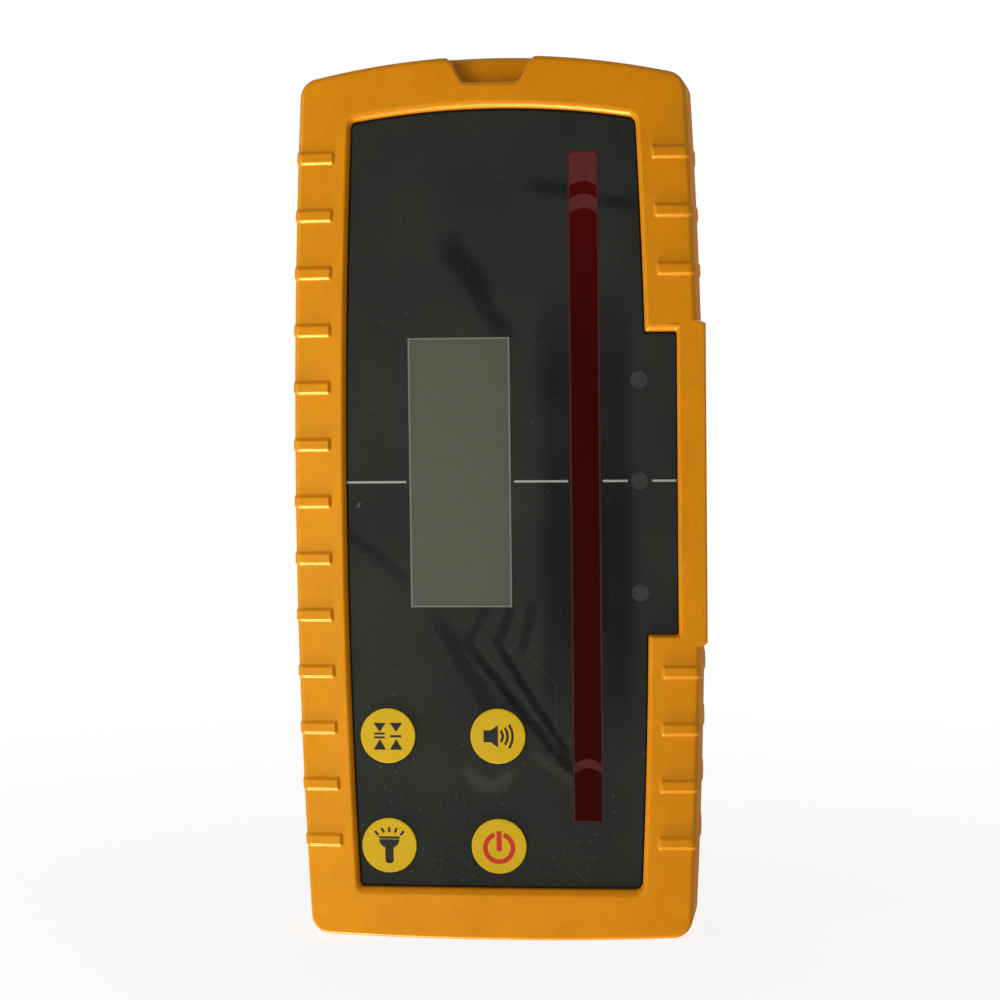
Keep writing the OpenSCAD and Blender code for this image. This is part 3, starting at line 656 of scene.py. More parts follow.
# The door's recess, its ledge and the bay for the cells
DOOR_LOW, DOOR_HIGH = span("battery_door")
DOOR_CORNER_R = 3
DOOR_GAP = 0.3
DOOR_EDGE_R = 0.5
INSERT_LOW, INSERT_HIGH = span("door_insert")
LEDGE_Y = INSERT_HIGH.y
COIN_Z = (INSERT_LOW.z + INSERT_HIGH.z) / 2
INSERT_GAP = 0.05
INSERT_CHAMFER = 0.1
INSERT_DEPTH = 6
BAY_LOW = (-14.7, 11.1)
BAY_HIGH = (14.7, 67.3)
BAY_CORNER_R = 0.6
BAY_Y = -3.25

# Rows of the rear edge: depth below the back face, and how much of the block is left there
REAR_ROWS = ((1.9, 1), (1.5, 1), (1.15, 1), (0.92, 0.9), (0.83, 0.65))


def rear_rib_share(depth):
    """How much of a rib's height is left near the back face, where it curves in."""
    reach = EDGE_R + RIB_PROUD
    below = EDGE_R + 2 * RIB_PROUD - depth
    if below <= 0:
        return 1
    return max(0, (math.sqrt(reach ** 2 - below ** 2) - EDGE_R) / RIB_PROUD)


def sink(skin, x, z, radius, chamfer, depth, steps, y):
    """A hole with a chamfer in a back face at y; returns the loop at its mouth."""
    profile = ((radius + chamfer, 0), (radius, chamfer), (radius, depth))
    loops = skin.tube(circle(x, z, r, y - d, steps) for r, d in profile)
    skin.fill(loops[-1])
    return loops[0]


def vent_places():
    """One vent behind the middle of the buzzer and a ring of vents round it."""
    x, z = middle("buzzer")
    return [(x, z)] + [(px, pz) for px, _, pz in circle(x, z, VENT_PITCH, 0, VENT_COUNT)]


def door_recess(skin):
    """The recess that the door lies in, down to the bay; returns the loop at its mouth."""
    levels = ((DOOR_GAP + HOLE_CHAMFER, BACK_Y), (DOOR_GAP, BACK_Y - HOLE_CHAMFER), (DOOR_GAP, LEDGE_Y))
    recess = skin.tube(node_rect("battery_door", grow, DOOR_CORNER_R, y) for grow, y in levels)
    levels = ((HOLE_CHAMFER, LEDGE_Y), (0, LEDGE_Y - HOLE_CHAMFER), (0, BAY_Y))
    bay = skin.tube(grown_rect(BAY_LOW, BAY_HIGH, grow, BAY_CORNER_R, y) for grow, y in levels)
    insert_r = INSERT_HIGH.x + INSERT_GAP
    insert = sink(skin, 0, COIN_Z, insert_r, INSERT_CHAMFER, INSERT_DEPTH, HOLE_STEPS, LEDGE_Y)
    skin.fill(recess[-1], bay[0], insert)
    skin.fill(bay[-1])
    return recess[0]


def rear_shell(material):
    """The rear shell: ribbed sides, rounded back edge, and a back face with its holes."""
    rings = [ring(PLAIN_FACE, WALL, BACK_Y - WALL)]
    rings += seam_rings(SEAM_LINE, REAR_SEAM_Y, 1)
    for depth, block_share in REAR_ROWS:
        outline = between(PLAIN_FACE, BACK, block_share)
        rings.append(ring(outline, 0, BACK_Y - depth, RIBS * rear_rib_share(depth)))
    rings.append(ring(PLAIN_FACE, 0, BACK_Y - EDGE_R, RIBS * rear_rib_share(EDGE_R)))
    rings += rounded_rings(PLAIN_FACE, EDGE_R, BACK_Y, -1, 0)[1:]
    skin = Skin()
    loops = skin.tube(rings)
    holes = [door_recess(skin)]
    screw_places = [(x, z) for z in SCREW_ZS for x in (-SCREW_X, SCREW_X)]
    kinds = (
        (screw_places, SCREW_SEAT_R, SCREW_CHAMFER, SCREW_SEAT_DEPTH, HOLE_STEPS),
        ([(0, BRACKET_Z)], BRACKET_SEAT_R, HOLE_CHAMFER, BRACKET_SEAT_DEPTH, HOLE_STEPS),
        ([(0, z) for z in LOCATOR_ZS], LOCATOR_R, HOLE_CHAMFER, LOCATOR_DEPTH, HOLE_STEPS),
        (vent_places(), VENT_R, VENT_CHAMFER, WALL, VENT_STEPS),
    )
    for places, *shape in kinds:
        holes += [sink(skin, *place, *shape, BACK_Y) for place in places]
    skin.fill(loops[-1], *holes)
    piece = skin.piece("rear_shell", material, "housing_orange")
    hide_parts("rear_housing")


# The panel, its windows and its keys
PANEL_GAP = 0.05
PANEL_EDGE = 0.1
# The panel's skirt reaches out under the rim's groove, so that dark panel stands in for the shade in the
# groove
SHADE_SKIRT = 0.3
SHADE_SKIRT_DROP = 0.45
KEY_HOLE_R = 5.12
LENS_HOLE_R = 1.56
WINDOW_GAP = 0.01
WINDOW_CORNER_R = 0.1
LENS_NODES = ("led_lens_high", "led_lens_level", "led_lens_low")
WINDOW_NODES = ("lcd_window", "receiver_window")


def panel_plate(material):
    """The dark panel: a plate with broken edges and holes for windows, keys and lamps, and a skirt under the
    rim's groove whose dark stands in for the groove's shade.
    """
    skin = Skin()
    levels = (
        (PANEL_GAP + PANEL_EDGE, PANEL_Y), (PANEL_GAP, PANEL_Y + PANEL_EDGE),
        (-SHADE_SKIRT, PANEL_Y + SHADE_SKIRT_DROP), (-SHADE_SKIRT, FLOOR_Y),
    )
    border = skin.tube(panel_edge(-inset, y) for inset, y in levels)
    depths = (PANEL_Y, PANEL_Y + PANEL_EDGE, FLOOR_Y)
    holes = []
    for node in WINDOW_NODES:
        holes.append(skin.tube(node_rect(node, WINDOW_GAP, WINDOW_CORNER_R, y) for y in depths)[0])
    rounds = [(middle("key_" + key), KEY_HOLE_R) for key in KEY_SIGNS]
    rounds += [(middle(node), LENS_HOLE_R) for node in LENS_NODES]
    for (x, z), radius in rounds:
        holes.append(skin.tube(circle(x, z, radius, y, HOLE_STEPS) for y in depths)[0])
    skin.fill(border[0], *holes)
    piece = skin.piece("panel_plate", material, "panel_dark")
    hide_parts("front_panel")


# Profile of a key: radius, distance behind its face
KEY_FACE = (
    (4.8, 0), (4.88, 0.01), (4.94, 0.04), (4.98, 0.09), (5, 0.16), (5, 1.9), (6, 1.9), (6, 2.7),
)
KEY_STEPS = 72


def key_cap(name, node, material):
    """A key with a softly rounded edge, over its CAD node's place."""
    x, z = middle(node)
    face_y = span(node)[0].y
    skin = Skin()
    loops = skin.tube(circle(x, z, r, face_y + d, KEY_STEPS) for r, d in KEY_FACE)
    skin.fill(loops[0])
    skin.fill(loops[-1])
    piece = skin.piece("key_cap_" + name, material, "key_yellow", name + "_key")
    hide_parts(node)


# Thickness of a print, and how deep its foot stands in what it is printed on
PRINT_T = 0.02
PRINT_FOOT = 0.01


def printed(name, shapes, place, y, material, slot, body="housing"):
    """Flat shapes printed on a face at y; each shape is a list of points round a place."""
    skin = Skin()
    for shape in shapes:
        points = [(place[0] + px, place[1] + pz) for px, pz in shape]
        loops = skin.tube([(px, y + d, pz) for px, pz in points] for d in (-PRINT_T, PRINT_FOOT))
        skin.fill(loops[0])
    skin.piece(name, material, slot, body)


def bar_shape(x0, x1, z0, z1):
    return [(x0, z0), (x1, z0), (x1, z1), (x0, z1)]


def stroke(start, end, width):
    """A straight stroke with square ends."""
    length = math.dist(start, end)
    nx = -(end[1] - start[1]) / length * width / 2
    nz = (end[0] - start[0]) / length * width / 2
    return [
        (start[0] - nx, start[1] - nz), (end[0] - nx, end[1] - nz),
        (end[0] + nx, end[1] + nz), (start[0] + nx, start[1] + nz),
    ]


ARC_STEPS = 24


def arc_stroke(centre, radius, width, start, end, steps=ARC_STEPS):
    """A stroke along an arc, between two angles in degrees."""
    turns = np.radians(np.linspace(start, end, steps + 1))
    rims = []
    for r in (radius + width / 2, radius - width / 2):
        rims.append([(centre[0] + r * math.cos(a), centre[1] + r * math.sin(a)) for a in turns])
    return rims[0] + rims[1][::-1]


def bulged_stroke(tip, bulge, width):
    """An upright arc bowed to the right: its ends lie at tip (x, z) and its middle at x + bulge."""
    radius = (tip[1] ** 2 + bulge ** 2) / (2 * bulge)
    swing = math.degrees(math.asin(tip[1] / radius))
    return arc_stroke((tip[0] + bulge - radius, 0), radius, width, -swing, swing)


# Signs on the keys, in millimetres from the middle of a key
SIGN_COLUMNS = (-1.5, 1.5)
SIGN_HALF_W = 1.14
SIGN_TOP = (2.34, 0.7)
SIGN_BOTTOM = (-2.55, -0.62)
SIGN_BARS = ((-2.5, -0.6, 0.2, 0.56), (-2.5, -0.6, -0.5, -0.14), (0.42, 2.42, -0.3, 0.11))
SPEAKER = ((-2.6, -1.08), (-1.28, -1.08), (0, -2), (0, 2), (-1.28, 1.08), (-2.6, 1.08))
SOUND_ARCS = ((0.5, 1.0, 0.37), (1.24, 1.52, 0.5), (2, 2.1, 0.64))
SOUND_W = 0.44
RAYS = (
    ((-2.62, 2.6), (-1.98, 1.84)), ((-1.42, 3.12), (-0.96, 2.32)), ((0, 3.3), (0, 2.42)),
    ((1.32, 3.18), (1.06, 2.31)), ((2.65, 2.62), (2.06, 1.88)),
)
RAY_W = 0.42
TORCH_HEAD = (-1.88, 1.88, 1.24, 1.62)
TORCH_BOWL_TOP = 1.12
TORCH_BOWL_DROP = 1.65
TORCH_HALF_W = 1.85
HANDLE_HALF_W = 0.75
HANDLE_END = -3.25
HANDLE_R = 0.55
POWER_RING = ((0, -0.27), 2.5, 0.86, 109, 431, 2 * ARC_STEPS)
POWER_BAR = (-0.46, 0.46, -0.83, 2.78)
CURVE_STEPS = 12


def step_sign():
    shapes = [bar_shape(*bar) for bar in SIGN_BARS]
    for x in SIGN_COLUMNS:
        for base, tip in (SIGN_TOP, SIGN_BOTTOM):
            shapes.append([(x - SIGN_HALF_W, base), (x, tip), (x + SIGN_HALF_W, base)])
    return shapes


def sound_sign():
    return [list(SPEAKER)] + [bulged_stroke((x, z), bulge, SOUND_W) for x, z, bulge in SOUND_ARCS]


def torch_sign():
    swing = math.acos(HANDLE_HALF_W / TORCH_HALF_W)
    right = []
    for a in np.linspace(0, swing, CURVE_STEPS + 1):
        right.append((TORCH_HALF_W * math.cos(a), TORCH_BOWL_TOP - TORCH_BOWL_DROP * math.sin(a)))
    for a in quarter(CURVE_STEPS):
        x = HANDLE_HALF_W - HANDLE_R * (1 - math.cos(a))
        right.append((x, HANDLE_END + HANDLE_R * (1 - math.sin(a))))
    body = right + [(-x, z) for x, z in reversed(right)]
    return [body, bar_shape(*TORCH_HEAD)] + [stroke(start, end, RAY_W) for start, end in RAYS]


def power_sign():
    return [arc_stroke(*POWER_RING), bar_shape(*POWER_BAR)]


KEY_SIGNS = {"grade": step_sign, "sound": sound_sign, "light": torch_sign, "power": power_sign}

# Grade line across the panel, and the thin borders of the two windows
GRADE_Z = 82.85
GRADE_HALF_W = 0.2
GRADE_PIECES = ((-26.95, -16.1), (3.4, 13.1), (19.3, 23.7), (28.1, 32.35))
BORDER_W = 0.3


def border_shapes(node, width):
    """Four bars just inside the edge of a window."""
    low, high = span(node)
    return [
        bar_shape(low.x, high.x, low.z, low.z + width),
        bar_shape(low.x, high.x, high.z - width, high.z),
        bar_shape(low.x, low.x + width, low.z + width, high.z - width),
        bar_shape(high.x - width, high.x, low.z + width, high.z - width),
    ]


def grade_line(material):
    shapes = [bar_shape(x0, x1, GRADE_Z - GRADE_HALF_W, GRADE_Z + GRADE_HALF_W) for x0, x1 in GRADE_PIECES]
    printed("grade_line", shapes, (0, 0), PANEL_Y, material, "panel_dark")


# The battery door: rounded edge, seat of the coin screw
COIN_SEAT_R = 4.8
COIN_SHANK_R = 2.08
COIN_SEAT_DEPTH = 1.15


def door_plate(material):
    """The battery door with a rounded outer edge and the seat for its coin screw."""
    skin = Skin()
    rings = [node_rect("battery_door", 0, DOOR_CORNER_R, DOOR_LOW.y)]
    for a in quarter(EDGE_STEPS):
        inset = DOOR_EDGE_R * (1 - math.cos(a))
        y = DOOR_HIGH.y - DOOR_EDGE_R * (1 - math.sin(a))
        rings.append(node_rect("battery_door", -inset, DOOR_CORNER_R, y))
    loops = skin.tube(rings)
    seat = (
        (COIN_SEAT_R + HOLE_CHAMFER, 0), (COIN_SEAT_R, HOLE_CHAMFER), (COIN_SEAT_R, COIN_SEAT_DEPTH),
        (COIN_SHANK_R, COIN_SEAT_DEPTH), (COIN_SHANK_R, DOOR_HIGH.y - DOOR_LOW.y),
    )
    hole = skin.tube(circle(0, COIN_Z, r, DOOR_HIGH.y - d, HOLE_STEPS) for r, d in seat)
    skin.fill(loops[-1], hole[0])
    skin.fill(loops[0], hole[-1])
    piece = skin.piece("door_plate", material, "housing_orange", "door")
    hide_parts("battery_door")


def srgb(red, green, blue):
    """Linear colour of an sRGB colour given from 0 to 255."""
    channels = [c / 255 for c in (red, green, blue)]
    return [c / 12.92 if c <= 0.04045 else ((c + 0.055) / 1.055) ** 2.4 for c in channels] + [1]


def tinted(colour, share):
    """The colour made lighter or darker by a share."""
    return [min(1, c * (1 + share)) for c in colour[:3]] + [1]


# Sockets of a node that mixes colours: the share and the two colours, and the result
MIX_INPUTS = (0, 6, 7)
MIX_OUTPUT = 2

PLAIN_SPECULAR = 0.15

# Noise: the range that most of it lies in, and kinds of it: size of the lumps, detail, and roughness if set
NOISE_RANGE = (0.3, 0.7)
DRIFT_NOISE = (18, 3)
SHEEN_NOISE = (4, 3)
STROKE_NOISE = (9, 2)

# The share of a stroke's length that fades at each end
STROKE_END_SHARE = 0.25


class Graph:
    """The nodes of a material or of the world."""

    def __init__(self, owner):
        owner.use_nodes = True
        self.nodes = owner.node_tree.nodes
        self.links = owner.node_tree.links

    def add(self, kind, **inputs):
        """A node with the given inputs, each a socket to link or a plain value."""
        node = self.nodes.new(kind)
        for name, value in inputs.items():
            self.put(node.inputs[name.replace("_", " ")], value)
        return node

    def put(self, target, value):
        if isinstance(value, bpy.types.NodeSocket):
            self.links.new(value, target)
        else:
            target.default_value = value

    def scaled(self, value, low, high, start=0, end=1):
        """The value brought from one range to another."""
        ranges = {"From_Min": start, "From_Max": end, "To_Min": low, "To_Max": high}
        return self.add("ShaderNodeMapRange", Value=value, **ranges).outputs["Result"]

    def compute(self, operation, a, b=0):
        node = self.add("ShaderNodeMath")
        node.operation = operation
        self.put(node.inputs[0], a)
        self.put(node.inputs[1], b)
        return node.outputs[0]

    def plus(self, a, b):
        return self.compute("ADD", a, b)

    def times(self, a, b):
        return self.compute("MULTIPLY", a, b)

    def seen_directly(self):
        """1 for rays from the eye, a mirror or a glass, which see the backdrop itself."""
        path = self.add("ShaderNodeLightPath").outputs
        seen = self.compute("MAXIMUM", path["Is Camera Ray"], path["Is Glossy Ray"])
        return self.compute("MAXIMUM", seen, path["Is Transmission Ray"])


class Finish(Graph):
    """A material made of nodes. Sizes are in millimetres, on the piece's own coordinates."""

    def __init__(self, name, metallic=0, specular=PLAIN_SPECULAR, glint=(1, 1, 1)):
        self.material = bpy.data.materials.new(name)
        super().__init__(self.material)
        self.bsdf = self.nodes["Principled BSDF"]
        self.place = self.add("ShaderNodeTexCoord").outputs["Object"]
        self.bsdf.inputs["Metallic"].default_value = metallic
        self.bsdf.inputs["Specular IOR Level"].default_value = specular
        self.bsdf.inputs["Specular Tint"].default_value = (*glint, 1)

    def noise(self, grain, detail=2, rough=0.5):
        """Noise from 0 to 1 whose lumps are about grain across."""
        shape = {"Scale": 1 / (grain * MM), "Detail": detail, "Roughness": rough}
        return self.add("ShaderNodeTexNoise", Vector=self.place, **shape).outputs["Fac"]

    def shaded(self, value, colour, low, high, stops=NOISE_RANGE):
        """The colour, changed by a low and a high share at two stops of the value."""
        node = self.add("ShaderNodeValToRGB", Fac=value)
        for element, stop, share in zip(node.color_ramp.elements, stops, (low, high)):
            element.position = stop
            element.color = tinted(colour, share)
        return node.outputs["Color"]

    def mixed(self, share, a, b):
        """Colour a where the share is 0, and colour b where it is 1."""
        node = self.add("ShaderNodeMix")
        node.data_type = "RGBA"
        for index, value in zip(MIX_INPUTS, (share, a, b)):
            self.put(node.inputs[index], value)
        return node.outputs[MIX_OUTPUT]

    def axes(self, turn=0):
        """Distances in millimetres along X and Z, after a turn about Y."""
        place = self.add("ShaderNodeMapping", Vector=self.place, Rotation=(0, turn, 0), Scale=[1 / MM] * 3)
        way = self.add("ShaderNodeSeparateXYZ", Vector=place.outputs[0])
        return way.outputs["X"], way.outputs["Z"]

    def band(self, value, low, high, soft):
        """1 from low to high, falling to 0 outside over a soft edge."""
        off = self.compute("ABSOLUTE", self.compute("SUBTRACT", value, (low + high) / 2))
        half = (high - low) / 2
        return self.scaled(off, 1, 0, half, half + soft)

    def patch(self, low, high, softs):
        """1 in an upright rectangle between two points (x, z) of the front, 0 off it."""
        bands = [self.band(*sides) for sides in zip(self.axes(), low, high, softs)]
        return self.times(*bands)

    def stroke(self, start, end, half, soft):
        """1 on a slightly wavy stroke between two points (x, z) of the front, 0 off it."""
        turn = bearing(start, end)
        length = math.dist(start, end)
        first = start[0] * math.cos(turn) + start[1] * math.sin(turn)
        side = start[1] * math.cos(turn) - start[0] * math.sin(turn)
        along, across = self.axes(turn)
        wavy = self.plus(across, self.scaled(self.noise(*STROKE_NOISE), -soft, soft))
        length_band = self.band(along, first, first + length, length * STROKE_END_SHARE)
        return self.times(length_band, self.band(wavy, side - half, side + half, soft))

    def colour(self, value):
        self.put(self.bsdf.inputs["Base Color"], value)

    def roughness(self, value):
        self.put(self.bsdf.inputs["Roughness"], value)

    def sheen(self, low, high):
        """Roughness that drifts between two values."""
        self.roughness(self.scaled(self.noise(*SHEEN_NOISE), low, high, *NOISE_RANGE))

    def relief(self, height, depth):
        """Bumps of a depth."""
        bump = self.add("ShaderNodeBump", Height=height, Distance=depth * MM)
        self.put(self.bsdf.inputs["Normal"], bump.outputs["Normal"])


# How far a moulded finish's roughness drifts to both sides
SHEEN_DRIFT = 0.05


def moulded(name, colour, rough, grain=0.25, depth=0.012, tone=0.06, **shader):
    """Moulded plastic, rubber or metal: fine grain, slow drift of tone, uneven sheen."""
    finish = Finish(name, **shader)
    finish.colour(finish.shaded(finish.noise(*DRIFT_NOISE), colour, -tone, tone))
    finish.sheen(rough - SHEEN_DRIFT, rough + SHEEN_DRIFT)
    finish.relief(finish.noise(grain), depth)
    return finish.material


# Orange plastic, and where its normals turn far enough aside for the coarser sides
ORANGE = srgb(196, 119, 2)
ORANGE_GLINT = (1, 0.95, 0.2)
ORANGE_SPECULAR = 0.4
ORANGE_ROUGH = 0.27
ORANGE_SHARE = 0.15
ORANGE_STOPS = (0.2, 0.8)
MOTTLE_NOISE = (14, 6, 0.75)
SPOT_NOISE = (0.38, 3, 0.7)
SPOT_SHARE = 0.3
SIDE_ROUGH = 0.9
SIDE_RANGE = (0.6, 0.95)
PORE_NOISE = (0.3, 2)
PORE_DEPTH = 0.02


def housing_finish():
    """Orange plastic with a fine mottled grain, satin on its faces and coarser on its sides."""
    finish = Finish("housing_orange", specular=ORANGE_SPECULAR, glint=ORANGE_GLINT)
    spots = finish.scaled(finish.noise(*SPOT_NOISE), -SPOT_SHARE, SPOT_SHARE)
    tone = finish.plus(finish.noise(*MOTTLE_NOISE), spots)
    finish.colour(finish.shaded(tone, ORANGE, -ORANGE_SHARE, ORANGE_SHARE, ORANGE_STOPS))
    normal = finish.add("ShaderNodeNewGeometry").outputs["Normal"]
    across = finish.add("ShaderNodeSeparateXYZ", Vector=normal).outputs["X"]
    sideways = finish.compute("ABSOLUTE", across)
    finish.roughness(finish.scaled(sideways, ORANGE_ROUGH, SIDE_ROUGH, *SIDE_RANGE))
    finish.relief(finish.noise(*PORE_NOISE), PORE_DEPTH)
    return finish.material


# Marks in the panel's film: two ends (x, z), half width, soft edge, and share by which they darken or lighten
# The first eleven are creases, drawn as painted shade where they darken and painted reflections where they
# lighten; the last four are scratches and a fleck
FILM_SHADING_AND_SCRATCHES = (
    ((-3.5, 51.5), (12.6, 31.6), 0.55, 0.7, -0.7),
    ((1, 52), (11.7, 35), 0.4, 0.6, -0.7),
    ((-1.4, 50.4), (12.2, 33.4), 0.3, 0.6, 0.28),
    ((-10, 57), (-2.5, 43.5), 0.8, 1.4, -0.49),
    ((-2, 60), (-4.5, 55), 0.5, 0.6, -0.42),
    ((2.5, 60), (0.5, 54.5), 0.5, 0.6, -0.49),
    ((6.5, 60), (4.5, 53), 0.5, 0.8, -0.49),
    ((-27, 74), (-17.5, 66), 0.5, 1.1, -0.42),
    ((-7, 124.5), (1.5, 110), 1.2, 1.8, -0.56),
    ((9, 135), (24, 132), 0.6, 1.2, -0.42),
    ((7, 33.5), (13, 29), 0.3, 0.8, 0.49),
    ((5.9, 51.3), (10.55, 46.3), 0.02, 0.07, 0.8),
    ((10.56, 47.2), (10.45, 36.3), 0.02, 0.07, 0.6),
    ((-22.4, 95.9), (-20.6, 95.4), 0.03, 0.08, 0.8),
    ((-24.9, 78.5), (-24.6, 79.1), 0.14, 0.08, 9),
)

# The film itself, a darker patch round the red window painted where the film reflects less, a painted sheen
# below the sound key, and dust, most at the foot
PANEL_TONE = srgb(36, 38, 35)
TONE_RANGE = 4
FILM_SPECULAR = 0.05
FILM_ROUGH = (0.36, 0.48)
FILM_DRIFT_NOISE = (16, 3)
FILM_DRIFT_SHARE = 0.5
FILM_GRAIN_NOISE = (0.3, 2)
FILM_GRAIN_SHARE = 0.3
FILM_RELIEF_NOISE = (0.4, 2)
FILM_RELIEF = 0.01
# Painted shade round the red window: corners of the patch (x, z), its soft edges, and the share by which it
# darkens
FILM_SHADE_ZONE = ((9.8, 54), (22.8, 98), (3, 22))
FILM_SHADE_ZONE_SHARE = -0.62
# Painted sheen below the sound key: middle and radii of its ring, soft edge, and the share by which it
# lightens
SHEEN_CRESCENT_PLACE = (-1.6, 31.8)
SHEEN_CRESCENT_RADII = (3.4, 4.2)
SHEEN_CRESCENT_SOFT = 1.6
SHEEN_CRESCENT_SHARE = 0.8
DUST_NOISE = (0.7, 1)
DUST_AT_FOOT = 0.06
DUST_RANGE = (14, 60)
SPECK_RANGE = (0.72, 0.8)


def sheen_crescent(finish, axes):
    """1 on the lower half of a soft ring below the sound key, where a sheen is painted; 0 off it."""
    away = [finish.compute("SUBTRACT", axis, place) for axis, place in zip(axes, SHEEN_CRESCENT_PLACE)]
    squares = [finish.times(a, a) for a in away]
    distance = finish.compute("SQRT", finish.plus(*squares))
    below = finish.scaled(away[1], 1, 0, -SHEEN_CRESCENT_SOFT, 0)
    return finish.times(finish.band(distance, *SHEEN_CRESCENT_RADII, SHEEN_CRESCENT_SOFT), below)


def panel_finish():
    """Dark satin film with grain, dust and scratches; its creases have painted shade and reflections, with
    painted shade round the red window and a painted sheen below the sound key.
    """
    finish = Finish("panel_dark", specular=FILM_SPECULAR)
    drift = finish.scaled(finish.noise(*FILM_DRIFT_NOISE), 1 - FILM_DRIFT_SHARE, 1 + FILM_DRIFT_SHARE)
    grain = finish.scaled(finish.noise(*FILM_GRAIN_NOISE), -FILM_GRAIN_SHARE, FILM_GRAIN_SHARE)
    x, z = finish.axes()
    lower = finish.scaled(z, DUST_AT_FOOT, 0, *DUST_RANGE)
    specks = finish.scaled(finish.plus(finish.noise(*DUST_NOISE), lower), 0, 1, *SPECK_RANGE)
    shade = finish.plus(finish.plus(drift, grain), specks)
    # Painted shade, sheen and reflections of the film, and its scratches, each with the share it adds to the
    # tone
    shading_and_marks = [(finish.patch(*FILM_SHADE_ZONE), FILM_SHADE_ZONE_SHARE), (sheen_crescent(finish, (x, z)), SHEEN_CRESCENT_SHARE)]
    shading_and_marks += [(finish.stroke(*shape), share) for *shape, share in FILM_SHADING_AND_SCRATCHES]
    for mask, share in shading_and_marks:
        shade = finish.plus(shade, finish.times(mask, share))
    shade = finish.scaled(shade, 0, 1, 0, TONE_RANGE)
    finish.colour(finish.shaded(shade, PANEL_TONE, -1, TONE_RANGE - 1, (0, 1)))
    finish.sheen(*FILM_ROUGH)
    finish.relief(finish.noise(*FILM_RELIEF_NOISE), FILM_RELIEF)
    return finish.material


DISPLAY_TONE = srgb(71, 71, 58)
DISPLAY_RIM_TONE = srgb(66, 68, 64)
DISPLAY_RIM = 1.5
DISPLAY_NOISE = (0.35, 3)
DISPLAY_SHARE = 0.08
DISPLAY_ROUGH = (0.3, 0.4)


def display_finish():
    """Grey display, duller towards its edges, with a fine grain."""
    finish = Finish("display_grey")
    low, high = span("lcd_window")
    rim = DISPLAY_RIM
    middle_share = finish.patch((low.x + rim, low.z + rim), (high.x - rim, high.z - rim), (rim, rim))
    tone = finish.shaded(finish.noise(*DISPLAY_NOISE), DISPLAY_TONE, -DISPLAY_SHARE, DISPLAY_SHARE)
    finish.colour(finish.mixed(middle_share, DISPLAY_RIM_TONE, tone))
    finish.sheen(*DISPLAY_ROUGH)
    return finish.material


# The red window, and film left on it: lowest and highest point of each patch, and how strong it is
WINDOW_TONE = srgb(46, 0, 0)
WINDOW_HIGH_TONE = srgb(66, 3, 4)
WINDOW_TONE_RANGE = (106, 132)
WINDOW_SPECULAR = 0.024
WINDOW_ROUGH = (0.3, 0.36)
WINDOW_PATCHES = ((136.2, 141.6, 0.85), (131.4, 133.7, 0.8), (31.4, 32.8, 0.6))
PATCH_TONE = srgb(92, 44, 44)
PATCH_ARCH = 0.16
PATCH_SOFT = 0.25
CLOUD_NOISE = (2.5, 3)
CLOUD_SHARES = (0.7, 1.1)


def window_finish():
    """Deep red window, lighter near its top, with patches of loose film."""
    finish = Finish("window_red", specular=WINDOW_SPECULAR)
    x, z = finish.axes()
    off = finish.compute("SUBTRACT", x, middle("receiver_window")[0])
    rise = finish.times(finish.times(off, off), PATCH_ARCH)
    arched = finish.plus(z, rise)
    tone = finish.mixed(finish.scaled(z, 0, 1, *WINDOW_TONE_RANGE), WINDOW_TONE, WINDOW_HIGH_TONE)
    cloud = finish.scaled(finish.noise(*CLOUD_NOISE), *CLOUD_SHARES, *NOISE_RANGE)
    for bottom, top, strength in WINDOW_PATCHES:
        film = finish.times(finish.band(arched, bottom, top, PATCH_SOFT), cloud)
        tone = finish.mixed(finish.times(film, strength), tone, PATCH_TONE)
    finish.colour(tone)
    finish.sheen(*WINDOW_ROUGH)
    return finish.material


# Inks: colour, and share of its drift
INK_TONES = {
    "ink": ((27, 26, 19), 0.08), "red_ink": ((178, 44, 24), 0.06), "line_ink": ((146, 146, 142), 0.05),
    "display_edge": ((104, 104, 90), 0.06), "window_edge": ((50, 12, 12), 0.06),
}
INK_LOOK = {"rough": 0.5, "grain": 0.15, "depth": 0.004}
KEY_LOOK = {"rough": 0.4, "grain": 0.3, "depth": 0.008, "tone": 0.04}
KEY_TONE = (190, 154, 1)

orange = housing_finish()
key_yellow = moulded("key_yellow", srgb(*KEY_TONE), **KEY_LOOK)
inks = {name: moulded(name, srgb(*tone), tone=share, **INK_LOOK) for name, (tone, share) in INK_TONES.items()}

front_shell(orange)
rear_shell(orange)
door_plate(orange)
panel_plate(panel_finish())
for key, sign in KEY_SIGNS.items():
    node = "key_" + key
    key_cap(key, node, key_yellow)
    print_ink = inks["red_ink" if key == "power" else "ink"]
    face_y = span(node)[0].y
    printed("sign_" + key, sign(), middle(node), face_y, print_ink, "key_yellow", key + "_key")
grade_line(inks["line_ink"])
for node, edge in (("lcd_window", "display_edge"), ("receiver_window", "window_edge")):
    face_y = span(node)[0].y
    printed("border_" + node, border_shapes(node, BORDER_W), (0, 0), face_y, inks[edge], "panel_dark")

# Looks of the CAD nodes that stay, by the slot of their material: colour and roughness
SLOT_LOOKS = {
    "seal_rubber": ((38, 38, 38), 0.75), "lens_smoke": ((42, 42, 40), 0.35),
    "plastic_black": ((34, 34, 34), 0.5), "plastic_ivory": ((222, 216, 200), 0.5),
    "board_green": ((18, 96, 56), 0.35), "diode_dark": ((34, 22, 44), 0.2),
    "lamp_white": ((226, 226, 220), 0.3), "frame_steel": ((196, 196, 196), 0.35),
    "display_glass": ((150, 156, 146), 0.12), "backlight_white": ((232, 232, 228), 0.6),
    "zebra_rubber": ((198, 138, 156), 0.7), "membrane_white": ((230, 230, 230), 0.8),
    "cell_wrap": ((66, 68, 72), 0.35), "contact_nickel": ((214, 212, 206), 0.3),
    "screw_steel": ((190, 190, 192), 0.35), "insert_brass": ((214, 180, 104), 0.35),
}
